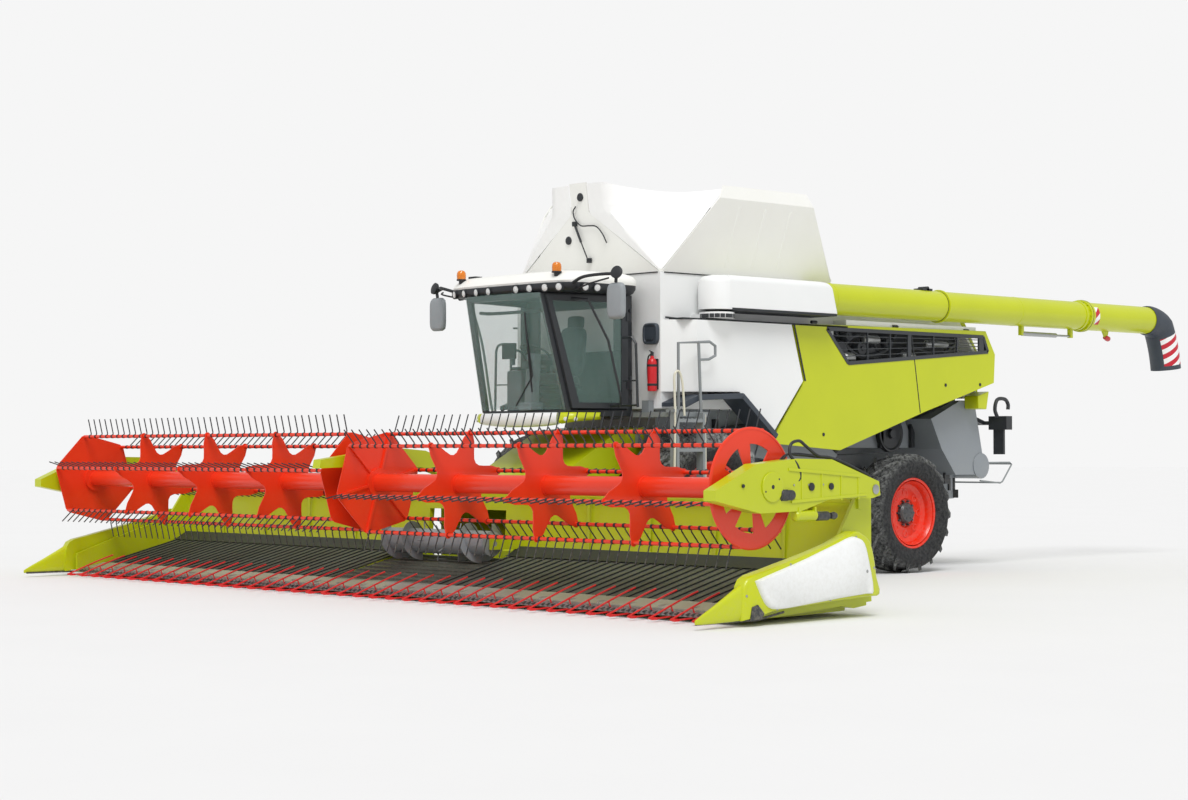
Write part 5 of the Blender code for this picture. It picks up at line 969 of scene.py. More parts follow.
for x, y in ((1.165, 2.42), (1.165, 2.62), (-1.165, 2.42)):
    way = (math.copysign(1, x), -0.25, -0.10)
    turned(bezels, [(-0.02, 0.055), (0.026, 0.055), (0.030, 0.046), (0.020, 0.044)], (x, y, 3.692), way, 20)
    turned(lenses, [(0.012, 0.044), (0.023, 0.042), (0.030, 0.025)], (x, y, 3.692), way, 20)
fit("roof_lamp_bezels", bezels, "machine", black_plastic)
fit("roof_lamp_lenses", lenses, "machine", clear_lens)
beacon = bmesh.new()
beacon_feet = bmesh.new()
for x in (-0.90, 0.90):
    turned(beacon, [(0, 0.056), (0.05, 0.060), (0.085, 0.056), (0.108, 0.040), (0.118, 0.015)],
           (x, 2.20, 3.885), (0, 0, 1), 24)
    turned(beacon_feet, [(0, 0.030), (0.04, 0.034), (0.045, 0.062), (0.062, 0.062)], (x, 2.20, 3.825),
           (0, 0, 1), 24)
fit("beacon_domes", beacon, "machine", amber_lens)
fit("beacon_feet", beacon_feet, "machine", black_plastic)

shells = bmesh.new()
arms = bmesh.new()
mirror_glass = bmesh.new()
for x, y in ((1.87, 2.26), (-1.65, 2.42)):
    side = math.copysign(1, x)
    tube(arms, eased([(side * 1.08, 2.28, 3.73), (side * 1.35, 2.24, 3.80), (x - side * 0.10, y, 3.81),
                      (x, y, 3.775), (x, y + 0.005, 3.70)], 5), 0.020, 10)
    tube(arms, eased([(side * 1.10, 2.32, 3.66), (side * 1.40, 2.30, 3.72), (x - side * 0.12, y, 3.76)], 4),
         0.011, 8)
    tube(arms, [(x, y + 0.01, 3.74), (x, y + 0.01, 3.28)], 0.013, 8)
    turned(arms, [(-0.02, 0.05), (0.0, 0.075), (0.03, 0.078), (0.04, 0.06)], (x + side * 0.03, y, 3.815),
           (side * 0.2, -1, 0.3), 20)
    rings = []
    for depth, grow in ((-0.028, 0.80), (-0.022, 0.93), (0.0, 1.0), (0.030, 1.0), (0.040, 0.97)):
        ring = []
        for k in range(36):
            angle = math.tau * k / 36
            cos, sin = math.cos(angle), math.sin(angle)
            ring.append((x + 0.138 * grow * math.copysign(abs(cos) ** 0.42, cos), y + depth,
                         3.480 + 0.218 * grow * math.copysign(abs(sin) ** 0.42, sin)))
        rings.append(ring)
    loft(shells, rings)
    plate(mirror_glass, [(x - 0.118, 3.29), (x + 0.118, 3.29), (x + 0.118, 3.665), (x - 0.118, 3.665)], "y",
          y + 0.040, y + 0.0435)
shell_grey = moulded("light grey moulded ABS shell", "grey_panel", "#9AA0A3", "#8C9296")
fit("mirror_shells", shells, "machine", shell_grey, crease=50)
fit("mirror_arms", arms, "machine", black_plastic)
silvered = enamel("silvered mirror glass", "bare_steel", "#C9D2D6", "#BEC8CD", rough=0.08, metal=1.0)
fit("mirror_faces", mirror_glass, "machine", silvered, 0.01)

# ---------------------------------------------------------------- bumper below the cab
# A moulded bumper in three parts: white in the middle, lime ends with two small lamps each.
BUMPER_LINE = ((0.0, 2.30), (0.25, 2.312), (0.45, 2.34), (0.62, 2.380), (0.74, 2.42), (0.82, 2.472),
               (0.86, 2.52), (0.91, 2.66),
               (0.955, 2.86))


def bumper_part(low, high):
    """The run of bumper between two half widths, as one closed moulding."""
    shape = bmesh.new()
    spots = []
    for (x, y), (far_x, far_y) in zip(BUMPER_LINE, BUMPER_LINE[1:]):
        spots += [(x + (far_x - x) * k / 4, y + (far_y - y) * k / 4) for k in range(4)]
    spots.append(BUMPER_LINE[-1])
    line = [(-x, y) for x, y in spots[:0:-1]] + spots
    rings = []
    for x, y in [spot for spot in line if low - 0.001 <= spot[0] <= high + 0.001]:
        away = abs(x) / 0.955
        drop = 1.99 + 0.09 * away ** 3
        out = x + math.copysign(0.05 * away, x)
        rings.append([(out * 0.985, y - 0.030, drop + 0.012), (out, y - 0.048, drop + 0.036),
                      (out * 1.0, y - 0.044, 2.12), (out * 0.995, y - 0.030, 2.155),
                      (out * 0.98, y - 0.012, 2.168), (x * 0.94, y + 0.08, 2.168),
                      (x * 0.93, y + 0.09, 2.15), (x * 0.93, y + 0.09, drop)])
    loft(shape, rings)
    return shape


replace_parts(fit("bumper_middle", bumper_part(-0.70, 0.70), "machine", white_enamel, crease=45),
            "cab_bumper")
ends = bumper_part(0.703, 0.955)
pair("bumper_end", ends, "machine", lime_enamel, crease=45)
marker = bmesh.new()
for x, y, z in ((0.80, 2.408, 2.085), (0.885, 2.50, 2.085)):
    turned(marker, [(0, 0.026), (0.010, 0.026), (0.014, 0.018)], (x + 0.03, y, z), (0.5, -1, 0), 16)
pair("bumper_marker_lamps", marker, "machine", clear_lens)
stays = bmesh.new()
for x in (-0.5, 0.5):
    block(stays, (x - 0.05, 2.38, 2.07), (x + 0.05, 2.62, 2.119))
fit("bumper_stays", stays, "machine", black_steel, 0.004)

# ---------------------------------------------------------------- platform, ladder and wall fittings
# Steel platform with bent hand rails and a hinged ladder, all in grey enamel; a fire
# extinguisher and a moulded vent are screwed to the tank's white front wall.
recoat(["platform", "ladder"], rail_grey)
treads = bmesh.new()
for k in range(5):
    z = 0.641 + k * 0.36
    for j in range(6):
        block(treads, (1.822, 3.27 + j * 0.077, z), (1.920, 3.30 + j * 0.077, z + 0.008))
fit("ladder_treads", treads, "ladder", rail_grey)
handrail = bmesh.new()
tube(handrail, eased([(1.90, 3.25, 0.70), (1.905, 3.22, 1.40), (1.90, 3.24, 2.05), (1.87, 3.26, 2.40),
                      (1.86, 3.27, 2.62), (1.87, 3.34, 2.66), (1.89, 3.38, 2.50),
                      (1.90, 3.40, 2.12)], 6), 0.015, 10)
tube(handrail, eased([(1.90, 3.72, 0.70), (1.905, 3.76, 1.40), (1.90, 3.76, 2.14)], 6), 0.015, 10)
cream_enamel = enamel("cream enamel on bent tube", "cream_cover", "#D9D6C4", "#CBC8B6", rough=0.4)
fit("ladder_hand_rails", handrail, "ladder", cream_enamel)
vent = bmesh.new()
vent_rings = []
for depth, grow in ((3.5495, 1.0), (3.515, 1.0), (3.500, 0.93), (3.500, 0.80), (3.512, 0.74)):
    ring = []
    for k in range(36):
        cos, sin = math.cos(math.tau * k / 36), math.sin(math.tau * k / 36)
        ring.append((1.195 + 0.130 * grow * math.copysign(abs(cos) ** 0.5, cos), depth,
                     3.155 + 0.135 * grow * math.copysign(abs(sin) ** 0.5, sin)))
    vent_rings.append(ring)
loft(vent, vent_rings)
block(vent, (1.14, 3.490, 3.085), (1.25, 3.505, 3.100))
fit("wall_vent", vent, "machine", dark_moulding, crease=50)
bottle = bmesh.new()
turned(bottle, [(0, 0.055), (0.012, 0.058), (0.03, 0.060), (0.34, 0.060), (0.375, 0.055), (0.40, 0.040),
                (0.415, 0.024),
                (0.44, 0.022)], (1.255, 3.488, 2.435), (0, 0, 1), 32)
bottle_red = enamel("bright red enamel on drawn steel", "red_paint", "#DC1420", "#C40F1A", soil=0.1)
fit("extinguisher_bottle", bottle, "machine", bottle_red)
valve = bmesh.new()
turned(valve, [(0, 0.022), (0.05, 0.022), (0.055, 0.012)], (1.255, 3.488, 2.872), (0, 0, 1), 16)
strut(valve, (1.255, 3.488, 2.925), (1.255, 3.440, 2.940), 0.020, 0.010, (1, 0, 0))
strut(valve, (1.255, 3.488, 2.900), (1.255, 3.445, 2.888), 0.020, 0.008, (1, 0, 0))
tube(valve, eased([(1.240, 3.48, 2.895), (1.200, 3.475, 2.86), (1.184, 3.475, 2.72), (1.188, 3.485, 2.52)]),
     0.010, 8)
block(valve, (1.20, 3.530, 2.46), (1.31, 3.549, 2.84))
turned(valve, [(0, 0.0625), (0.03, 0.0625)], (1.255, 3.488, 2.50), (0, 0, 1), 32)
turned(valve, [(0, 0.0625), (0.03, 0.0625)], (1.255, 3.488, 2.74), (0, 0, 1), 32)
fit("extinguisher_valve_and_bracket", valve, "machine", black_plastic, 0.002)
wall_trim = bmesh.new()
block(wall_trim, (1.343, 3.70, 3.330), (1.60, 6.86, 3.352))
tube(wall_trim, [(1.62, 4.0, 3.338), (1.62, 5.68, 3.338)], 0.012, 8)
tube(wall_trim, eased([(1.36, 3.62, 3.36), (1.47, 3.80, 3.34), (1.60, 3.95, 3.34)]), 0.012, 8)
pair("panel_top_rail", wall_trim, "machine", black_plastic)

# ---------------------------------------------------------------- unloading auger
# A rolled steel tube in lime enamel, a white moulded shroud over its inner end, a flanged
# folding joint with its cylinder, and a dark polyethylene spout with striped reflectors.
AUGER_X = 1.60
AUGER_Z = 3.70
pipe_run = bmesh.new()
turned(pipe_run, [(0, 0.21), (7.97, 0.21)], (AUGER_X, 4.31, AUGER_Z), (0, 1, 0), 72)
for y, r, t in ((8.80, 0.232, 0.04), (6.42, 0.214, 0.03), (10.55, 0.213, 0.02), (12.15, 0.222, 0.05)):
    turned(pipe_run, [(0, 0.205), (0.004, r), (t - 0.004, r), (t, 0.205)], (AUGER_X, y, AUGER_Z), (0, 1, 0),
           72)
turned(pipe_run, [(0, 0.205), (0.004, 0.240), (0.045, 0.240), (0.047, 0.205)], (AUGER_X, 12.25, AUGER_Z),
       (0, 1, 0), 72)
bolts(pipe_run, (AUGER_X, 12.245, AUGER_Z), (0, -1, 0), 0.226, 16, 0.009, 0.008)
turned(pipe_run, [(0, 0.025), (0.12, 0.025)], (1.325, 12.30, 3.64), (0, 0, 1), 16)
block(pipe_run, (1.305, 12.25, 3.642), (1.40, 12.296, 3.758))
for y in (10.78, 12.02):
    block(pipe_run, (1.57, y - 0.03, 3.36), (1.63, y + 0.03, 3.50))
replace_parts(fit("auger_pipe", pipe_run, "auger", lime_enamel, 0.002), "auger_tube")
seams = bmesh.new()
turned(seams, [(0, 0.2115), (0.012, 0.2115)], (AUGER_X, 8.785, AUGER_Z), (0, 1, 0), 72)
turned(seams, [(0, 0.2425), (0.006, 0.2425)], (AUGER_X, 12.290, AUGER_Z), (0, 1, 0), 72)
block(seams, (1.50, 8.40, 3.905), (1.66, 8.62, 3.935))
turned(seams, [(0, 0.03), (0.16, 0.03)], (1.50, 8.52, 3.935), (1, 0, 0), 12)
fit("auger_clamp_bands", seams, "auger", black_steel)
ram = bmesh.new()
turned(ram, [(0, 0.028), (0.02, 0.034), (0.86, 0.034), (0.88, 0.026)], (AUGER_X, 10.78, 3.385), (0, 1, 0),
       20)
turned(ram, [(0, 0.016), (0.42, 0.016)], (AUGER_X, 11.64, 3.385), (0, 1, 0), 16)
fit("auger_fold_cylinder", ram, "auger", bright_steel)

shroud = bmesh.new()
shroud_rings = []
SHROUD_SECTION = [(1.369, 3.487), (1.835, 3.487)]
for centre_x, centre_z, start in ((1.745, 3.815, 0), (1.459, 3.815, 90)):
    for k in range(9):
        angle = math.radians(start + 90 * k / 8)
        SHROUD_SECTION.append((centre_x + 0.090 * math.cos(angle), centre_z + 0.090 * math.sin(angle)))
for share in (0.0, 0.25, 0.5, 0.75, 0.94, 1.0):
    ring = []
    for x, z in SHROUD_SECTION:
        rise = (z - 3.487) / 0.418
        back = 6.38 - 0.16 * rise ** 2.2
        shrink = 0.035 if share == 1.0 else 0.0
        y = 4.30 + (back - 4.30) * share
        ring.append((AUGER_X + (x - AUGER_X) * (1 - shrink), y, z - shrink * 0.2 * rise))
    shroud_rings.append(ring)
loft(shroud, shroud_rings)
turned(shroud, [(0, 0.2345), (0.345, 0.2345), (0.395, 0.215), (0.425, 0.165), (0.438, 0.08)],
       (AUGER_X, 4.30, 3.467), (0, 0, 1), 64)
fit("auger_shroud", shroud, "auger", white_enamel, 0.004, crease=40)
ledge = bmesh.new()
block(ledge, (1.372, 4.34, 3.455), (1.838, 6.36, 3.487))
fit("auger_shroud_edge", ledge, "auger", black_plastic, 0.004)
swivel = bmesh.new()
turned(swivel, [(0, 0.225), (0.05, 0.225), (0.06, 0.205), (0.074, 0.205)], (AUGER_X, 4.30, 3.361),
       (0, 0, 1), 48)
fit("auger_swivel_ring", swivel, "machine", black_steel)

tip = bmesh.new()
turned(tip, [(0, 0.21), (1.895, 0.21)], (AUGER_X, 12.305, AUGER_Z), (0, 1, 0), 72)
turned(tip, [(0, 0.205), (0.002, 0.240), (0.045, 0.240), (0.047, 0.205)], (AUGER_X, 12.303, AUGER_Z),
       (0, 1, 0), 72)
bolts(tip, (AUGER_X, 12.348, AUGER_Z), (0, 1, 0), 0.226, 16, 0.009, 0.008)
for low in (-0.1005, 0.0605):
    turned(tip, [(0, 0.025), (0.04, 0.025)], (1.325, 12.30, AUGER_Z + low), (0, 0, 1), 16)
    block(tip, (1.305, 12.303, AUGER_Z + low + 0.002), (1.39, 12.35, AUGER_Z + low + 0.038))
plate(tip, [(12.86, 3.50), (13.02, 3.50), (13.00, 3.43), (12.93, 3.40)], "x", 1.585, 1.615)
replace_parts(fit("auger_tip_pipe", tip, "auger_tip", lime_enamel, 0.002), "auger_tip")
tip_lamp = bmesh.new()
turned(tip_lamp, [(0, 0.030), (0.05, 0.042), (0.10, 0.042), (0.12, 0.030)], (AUGER_X, 12.93, 3.40),
       (0, 1, -0.25), 24)
fit("auger_tip_lamp", tip_lamp, "auger_tip", red_lens)


def wrap(shape, spine, radius, angles, proud, steps=10):
    """A thin sheet wrapped part of the way round a bent pipe."""
    rows = []
    for k, (spot, way) in enumerate(spine):
        side = Vector((1, 0, 0))
        rise = side.cross(way).normalized()
        turns = [math.radians(angles[0] + (angles[1] - angles[0]) * j / steps) for j in range(steps + 1)]
        near = [spot + radius * (math.cos(a) * side + math.sin(a) * rise) for a in turns]
        far = [spot + (radius + proud) * (math.cos(a) * side + math.sin(a) * rise) for a in turns]
        rows.append(near + far[::-1])
    loft(shape, rows)


board = bmesh.new()
wrap(board, [(Vector((AUGER_X, y, AUGER_Z)), Vector((0, 1, 0))) for y in (12.38, 12.44, 12.50)], 0.2105,
     (-38, 38), 0.003)
fit("auger_tip_stripes", board, "auger_tip", striped)

spout_spine = []
for k in range(21):
    share = k / 20
    angle = math.radians(78) * share
    y = 14.04 + 0.6046 * math.sin(angle)
    z = AUGER_Z - 0.42 * (1 - math.cos(angle)) - 0.84 * max(0.0, share - 0.5)
    spout_spine.append(Vector((AUGER_X, y, z)))
ways = [(spout_spine[min(k + 1, 20)] - spout_spine[max(k - 1, 0)]).normalized() for k in range(21)]
spout = bmesh.new()
outer_rings = [circle(spot, way, 0.234 if k > 1 else 0.222 + 0.006 * k, 48)
               for k, (spot, way) in enumerate(zip(spout_spine, ways))]
inner_rings = [circle(spot, way, 0.217, 48) for spot, way in list(zip(spout_spine, ways))[::-1]]
loft(spout, outer_rings + inner_rings, loop=True)
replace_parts(fit("auger_spout_moulding", spout, "auger_tip", dark_moulding, crease=50), "auger_spout")
marks = bmesh.new()
wrap(marks, list(zip(spout_spine, ways))[12:20], 0.2342, (-62, 40), 0.0006, 14)
fit("spout_stripes", marks, "auger_tip", striped)

# ---------------------------------------------------------------- feeder house and header frame
# Welded sheet steel in lime enamel; three hydraulic pipes run along the back wall on each side
# and are clamped at both ends.
lime_steel = enamel("lime green enamel on welded sheet steel", "lime_paint", "#C2CC08", "#B4BF04",
                    rough=0.36, soil=0.12)
recoat(["feeder_house"], lime_steel)
recoat(["header_frame", "reel_arm_left", "reel_arm_middle", "reel_arm_right"], lime_steel)
recoat(["reel_carriage_left", "reel_carriage_middle", "reel_carriage_right", "lift_barrels"], black_steel)
recoat(["lift_rods", "knife_bar"], bright_steel)
seam_bars = bmesh.new()
for x in (-5.2, -4.2, -3.2, -2.2, 2.2, 3.2, 4.2, 5.2):
    block(seam_bars, (x - 0.02, 1.488, 0.48), (x + 0.02, 1.499, 1.19))
for low, high in ((-6.12, -0.95), (0.95, 6.12)):
    block(seam_bars, (low, 1.486, 1.155), (high, 1.499, 1.195))
fit("back_wall_ribs", seam_bars, "header", lime_steel, 0.003)
lines = bmesh.new()
for offset in (0.0, 0.045, 0.09):
    for side in (1, -1):
        tube(lines, eased([(side * 0.92, 1.775, 1.05), (side * 0.95, 1.765, 1.19),
                           (side * 1.02, 1.66 + offset * 0.5, 1.222), (side * 1.25, 1.62 + offset, 1.215),
                           (side * 2.6, 1.60 + offset, 1.225), (side * 4.4, 1.62 + offset, 1.220),
                           (side * 6.0, 1.63 + offset, 1.222)], 6),
             0.011, 8)
fit("header_pipes", lines, "header", black_plastic)

# ---------------------------------------------------------------- draper belts
# Woven rubber belts in dark olive grey with bonded slats every 155 mm; the middle belt between
# them feeds the machine.  A worn sheet-steel sill leads from the knife to the belts.
olive_rubber = enamel("olive grey woven rubber belt", "belt_rubber", "#4F544A", "#44483E", rough=0.75,
                      soil=0.25)


def along_belt(share, lift):
    """A spot on the belt's sloping top run."""
    y = 0.15 + 1.18 * share
    return y - lift * 0.2426, 0.135 + 0.295 * share + lift * 0.9701


for side, name in ((1, "belt_left"), (-1, "belt_right")):
    belt = bmesh.new()
    lower, top = along_belt(0.0, 0.0), along_belt(1.0, 0.0)
    under, over = along_belt(0.0, 0.021), along_belt(1.0, 0.021)
    side_plate(belt, [lower, top, over, under], side, 1.002, 6.122)
    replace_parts(fit(name + "_weave", belt, "header", olive_rubber), name)
    slats = bmesh.new()
    for k in range(33):
        x = side * (1.085 + 0.155 * k)
        near, far = along_belt(0.02, 0.020), along_belt(0.985, 0.020)
        near_top, far_top = along_belt(0.022, 0.034), along_belt(0.983, 0.034)
        plate(slats, [near, far, far_top, near_top], "x", x - 0.012, x + 0.012)
    fit(name + "_slats", slats, "header", black_plastic)
middle = bmesh.new()
plate(middle, [(0.06, 0.118), (1.34, 0.40), (1.335, 0.415), (0.06, 0.134)], "x", -0.955, 0.955)
for k in range(9):
    share = (k + 0.5) / 9
    y, z = 0.06 + 1.28 * share, 0.134 + 0.281 * share
    block(middle, (-0.945, y - 0.012, z - 0.004), (0.945, y + 0.012, z + 0.014))
fit("middle_belt", middle, "header", olive_rubber)
sill = bmesh.new()
plate(sill, [(-0.15, 0.098), (0.06, 0.122), (0.155, 0.150), (0.150, 0.168), (0.05, 0.146), (-0.15, 0.112)],
      "x", -6.118, 6.118)
for k in range(27):
    block(sill, (-5.86 + 0.45 * k, -0.13, 0.108), (-5.84 + 0.45 * k, 0.02, 0.138))
worn_sheet = enamel("worn zinc-coated sheet", "bare_steel", "#B9B7AC", "#A3A198", rough=0.42, soil=0.3,
                    metal=0.4)
fit("knife_sill", sill, "header", worn_sheet)
guard_strip = bmesh.new()
for side in (1, -1):
    side_plate(guard_strip, [(1.27, 0.452), (1.33, 0.468), (1.49, 0.56), (1.49, 0.53), (1.36, 0.450)],
               side, 0.99, 6.12)
fit("belt_seals", guard_strip, "header", black_plastic)

# ---------------------------------------------------------------- knife guards and crop lifters
# Forged guards 76.2 mm apart over the whole knife, and red crop lifters every 300 mm with a
# spring finger that slopes back over the belts.
guards = bmesh.new()
teeth = bmesh.new()
spots = [-6.02 + 0.0762 * k for k in range(159)]
for x in spots:
    rings = []
    for y, half, low, high in ((-0.165, 0.020, 0.050, 0.094), (-0.215, 0.018, 0.052, 0.092),
                               (-0.262, 0.010, 0.060, 0.084),
                               (-0.298, 0.003, 0.068, 0.074)):
        rings.append([(x - half, y, low), (x + half, y, low), (x + half, y, high), (x - half, y, high)])
    loft(guards, rings)
    plate(teeth, [(x + 0.012, -0.170), (x + 0.064, -0.170), (x + 0.044, -0.236), (x + 0.032, -0.236)], "z",
          0.100, 0.1035)
fit("knife_guards", guards, "header", black_steel)
fit("knife_sections", teeth, "header", bright_steel)
signal_red = enamel("signal red enamel on spring steel", "red_paint", "#E01E22", "#CE181C", rough=0.42,
                    soil=0.1)
lifters = bmesh.new()
for k in range(40):
    x = -5.85 + 0.30 * k
    strut(lifters, (x, -0.20, 0.045), (x, -0.50, 0.032), 0.012, 0.016, (1, 0, 0))
    rings = []
    for y, half, low, high in ((-0.46, 0.013, 0.020, 0.046), (-0.53, 0.012, 0.020, 0.052),
                               (-0.58, 0.004, 0.036, 0.044)):
        rings.append([(x - half, y, low), (x + half, y, low), (x + half, y, high), (x - half, y, high)])
    loft(lifters, rings)
    tube(lifters, eased([(x, -0.575, 0.040), (x, -0.44, 0.085), (x, -0.26, 0.150), (x, -0.04, 0.225),
                         (x, 0.13, 0.275)], 3), 0.010, 6)
    strut(lifters, (x, -0.235, 0.092), (x, -0.26, 0.150), 0.014, 0.010, (1, 0, 0))
fit("crop_lifters", lifters, "header", signal_red)

# ---------------------------------------------------------------- intake drum
# A rolled drum with two opposed steel screw flights and a row of fingers between them.
drum = bmesh.new()
turned(drum, [(0, 0.09), (0.004, 0.150), (1.932, 0.150), (1.936, 0.09)], (-0.968, 1.10, 0.60), (1, 0, 0),
       48)
turned(drum, [(0, 0.035), (2.026, 0.035)], (-1.013, 1.10, 0.60), (1, 0, 0), 20)
for side in (1, -1):
    flight = []
    for k in range(97):
        share = k / 96
        angle = math.tau * 1.5 * share * side
        x = side * (0.955 - 0.62 * share)
        sin, cos = math.sin(angle), math.cos(angle)
        flight.append([(x - 0.003, 1.10 + r * sin, 0.60 + r * cos) for r in (0.146, 0.236)]
                      + [(x + 0.003, 1.10 + r * sin, 0.60 + r * cos) for r in (0.236, 0.146)])
    loft(drum, flight)
for k in range(9):
    angle = 2.4 * k
    x = -0.30 + 0.075 * k
    far = (x, 1.10 + 0.236 * math.sin(angle), 0.60 + 0.236 * math.cos(angle))
    tube(drum, [(x, 1.10, 0.60), far], 0.008, 8)
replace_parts(fit("drum_and_flights", drum, "intake_drum", grey_sheet, crease=40), "intake_drum")

# ---------------------------------------------------------------- header's end shields
# Each end is a moulded white pod in a lime steel frame, with a long lime divider nose and a skid.


def shell_side(outline, x_in, x_out, side, soft=0.02):
    """A moulding with the given side outline (y, z) whose outer face is drawn in a little."""
    shape = bmesh.new()
    mid_y = sum(spot[0] for spot in outline) / len(outline)
    mid_z = sum(spot[1] for spot in outline) / len(outline)
    rings = []
    for x, pull in ((x_in, 0.0), (x_out - soft, 0.0), (x_out - soft * 0.4, soft * 0.35),
                    (x_out, soft * 1.2)):
        ring = []
        for y, z in outline:
            away = math.hypot(y - mid_y, z - mid_z)
            keep = 1 - pull / away
            ring.append((side * x, mid_y + (y - mid_y) * keep, mid_z + (z - mid_z) * keep))
        rings.append(ring)
    loft(shape, rings)
    return shape


FRAME_SIDE = eased([(-0.39, 0.06), (-0.39, 0.24), (-0.33, 0.455), (-0.02, 0.54), (0.50, 0.655),
                    (0.92, 0.76), (1.28, 0.875), (1.42, 0.85), (1.535, 0.775), (1.60, 0.62),
                    (1.645, 0.40), (1.69, 0.225), (1.45, 0.205), (0.70, 0.168), (0.10, 0.135),
                    (-0.16, 0.088)], 3)
POD_SIDE = eased([(-0.225, 0.440), (0.10, 0.522), (0.50, 0.622), (0.92, 0.740), (1.19, 0.822),
                  (1.31, 0.815), (1.415, 0.760), (1.49, 0.560), (1.555, 0.262), (1.45, 0.240),
                  (1.10, 0.218), (0.60, 0.180), (0.104, 0.150), (-0.06, 0.195),
                  (-0.15, 0.310)], 3)
for side, word in ((1, "left"), (-1, "right")):
    frame_side = shell_side(FRAME_SIDE, 6.217, 6.352, side, 0.03)
    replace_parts(fit("end_frame_" + word, frame_side, "header", lime_enamel, crease=40),
                "end_shield_" + word)
    fit("end_pod_" + word, shell_side(POD_SIDE, 6.30, 6.398, side, 0.045), "header", white_enamel,
        crease=55)
    nose = bmesh.new()
    rings = []
    for y, low, high, half in ((-0.240, 0.070, 0.445, 0.060), (-0.34, 0.060, 0.420, 0.052),
                               (-0.50, 0.055, 0.335, 0.040), (-0.70, 0.052, 0.235, 0.028),
                               (-0.88, 0.050, 0.150, 0.016),
                               (-0.985, 0.055, 0.095, 0.008)):
        ring = []
        for k in range(24):
            cos, sin = math.cos(math.tau * k / 24), math.sin(math.tau * k / 24)
            ring.append((side * (6.282 + half * math.copysign(abs(cos) ** 0.7, cos)), y,
                         (low + high) / 2 + (high - low) / 2 * math.copysign(abs(sin) ** 0.7, sin)))
        rings.append(ring)
    loft(nose, rings)
    fit("divider_nose_" + word, nose, "header", lime_enamel, crease=45)
    skid = bmesh.new()
    strut(skid, (side * 6.26, -0.96, 0.056), (side * 6.26, -0.10, 0.052), 0.016, 0.022, (1, 0, 0))
    strut(skid, (side * 6.26, -0.10, 0.052), (side * 6.26, 0.30, 0.110), 0.016, 0.022, (1, 0, 0))
    side_plate(skid, [(-0.30, 0.062), (-0.27, 0.19), (-0.19, 0.21), (-0.10, 0.12), (-0.14, 0.066)],
               side, 6.350, 6.366)
    fit("divider_skid_" + word, skid, "header", black_steel, 0.003)
    fixings = bmesh.new()
    for y, z in ((-0.34, 0.30), (0.30, 0.58), (1.30, 0.82), (1.585, 0.50), (0.90, 0.204), (0.10, 0.152)):
        turned(fixings, [(0, 0.014), (0.006, 0.014), (0.010, 0.008)], (side * 6.347, y, z), (side, 0, 0),
               12)
    turned(fixings, [(0, 0.020), (0.005, 0.020), (0.007, 0.012)], (side * 6.3925, 1.42, 0.47), (side, 0, 0),
           16)
    fit("end_frame_bolts_" + word, fixings, "header", bright_steel)

# ---------------------------------------------------------------- reel drives and hoses
# Two hydraulic motors and a drive housing on the left arm, the arm's raised ribs and cover
# plate, and hoses clamped along its top.
motors = bmesh.new()
turned(motors, [(0, 0.045), (0.01, 0.060), (0.11, 0.060), (0.12, 0.050), (0.20, 0.050)],
       (6.338, 0.14, 1.262), (0, 1, 0), 28)
block(motors, (6.30, 0.22, 1.212), (6.385, 0.30, 1.312))
for k in range(5):
    turned(motors, [(0, 0.0615), (0.008, 0.0615)], (6.338, 0.155 + 0.02 * k, 1.262), (0, 1, 0), 24)
turned(motors, [(0, 0.036), (0.01, 0.046), (0.17, 0.046), (0.18, 0.034)], (6.335, 0.70, 1.045), (0, 1, 0),
       24)
turned(motors, [(-0.02, 0.030), (0.03, 0.040), (0.06, 0.030)], (6.335, 0.94, 1.045), (0, 1, 0), 20)
fit("reel_motors", motors, "reel_arms", black_steel, 0.002)
housing = bmesh.new()
turned(housing, [(0, 0.040), (0.02, 0.055), (0.30, 0.055), (0.32, 0.040)], (6.325, 0.38, 1.055), (0, 1, 0),
       28)
for y in (0.42, 0.66):
    block(housing, (6.27, y - 0.012, 1.045), (6.37, y + 0.012, 1.14))
turned(housing, [(0.0, 0.150), (0.012, 0.150), (0.016, 0.145)], (6.360, 0.02, 1.345), (1, 0, 0), 48)
plate(housing, [(0.30, 1.18), (0.30, 1.21), (1.45, 1.262), (1.45, 1.235)], "x", 6.358, 6.372)
plate(housing, [(0.26, 1.50), (0.26, 1.53), (1.35, 1.455), (1.35, 1.425)], "x", 6.358, 6.372)
for y in (0.45, 0.75, 1.05, 1.32):
    plate(housing, [(y, 1.20), (y + 0.022, 1.20), (y + 0.022, 1.50 - 0.03 * y), (y, 1.50 - 0.03 * y)], "x",
          6.358, 6.368)
fit("reel_drive_housing", housing, "reel_arms", lime_steel, 0.003)
windows = bmesh.new()
for y, z, r in ((0.02, 1.345, 0.030), (-0.085, 1.30, 0.014), (0.11, 1.42, 0.014), (0.60, 1.34, 0.040),
                (0.90, 1.34, 0.034), (-0.40, 1.36, 0.018)):
    turned(windows, [(0, r), (0.013, r), (0.016, r * 0.6)], (6.361, y, z), (1, 0, 0), 20)
fit("reel_arm_openings", windows, "reel_arms", black_plastic)
hoses = bmesh.new()
tube(hoses, eased([(6.30, 0.29, 1.285), (6.335, 0.36, 1.36), (6.350, 0.45, 1.44), (6.350, 0.40, 1.56),
                   (6.335, 0.315, 1.66), (6.320, 0.35, 1.765), (6.31, 0.48, 1.795), (6.30, 0.59, 1.745),
                   (6.30, 0.77, 1.648), (6.30, 0.95, 1.628), (6.30, 1.22, 1.56),
                   (6.30, 1.55, 1.445)], 6), 0.016, 10)
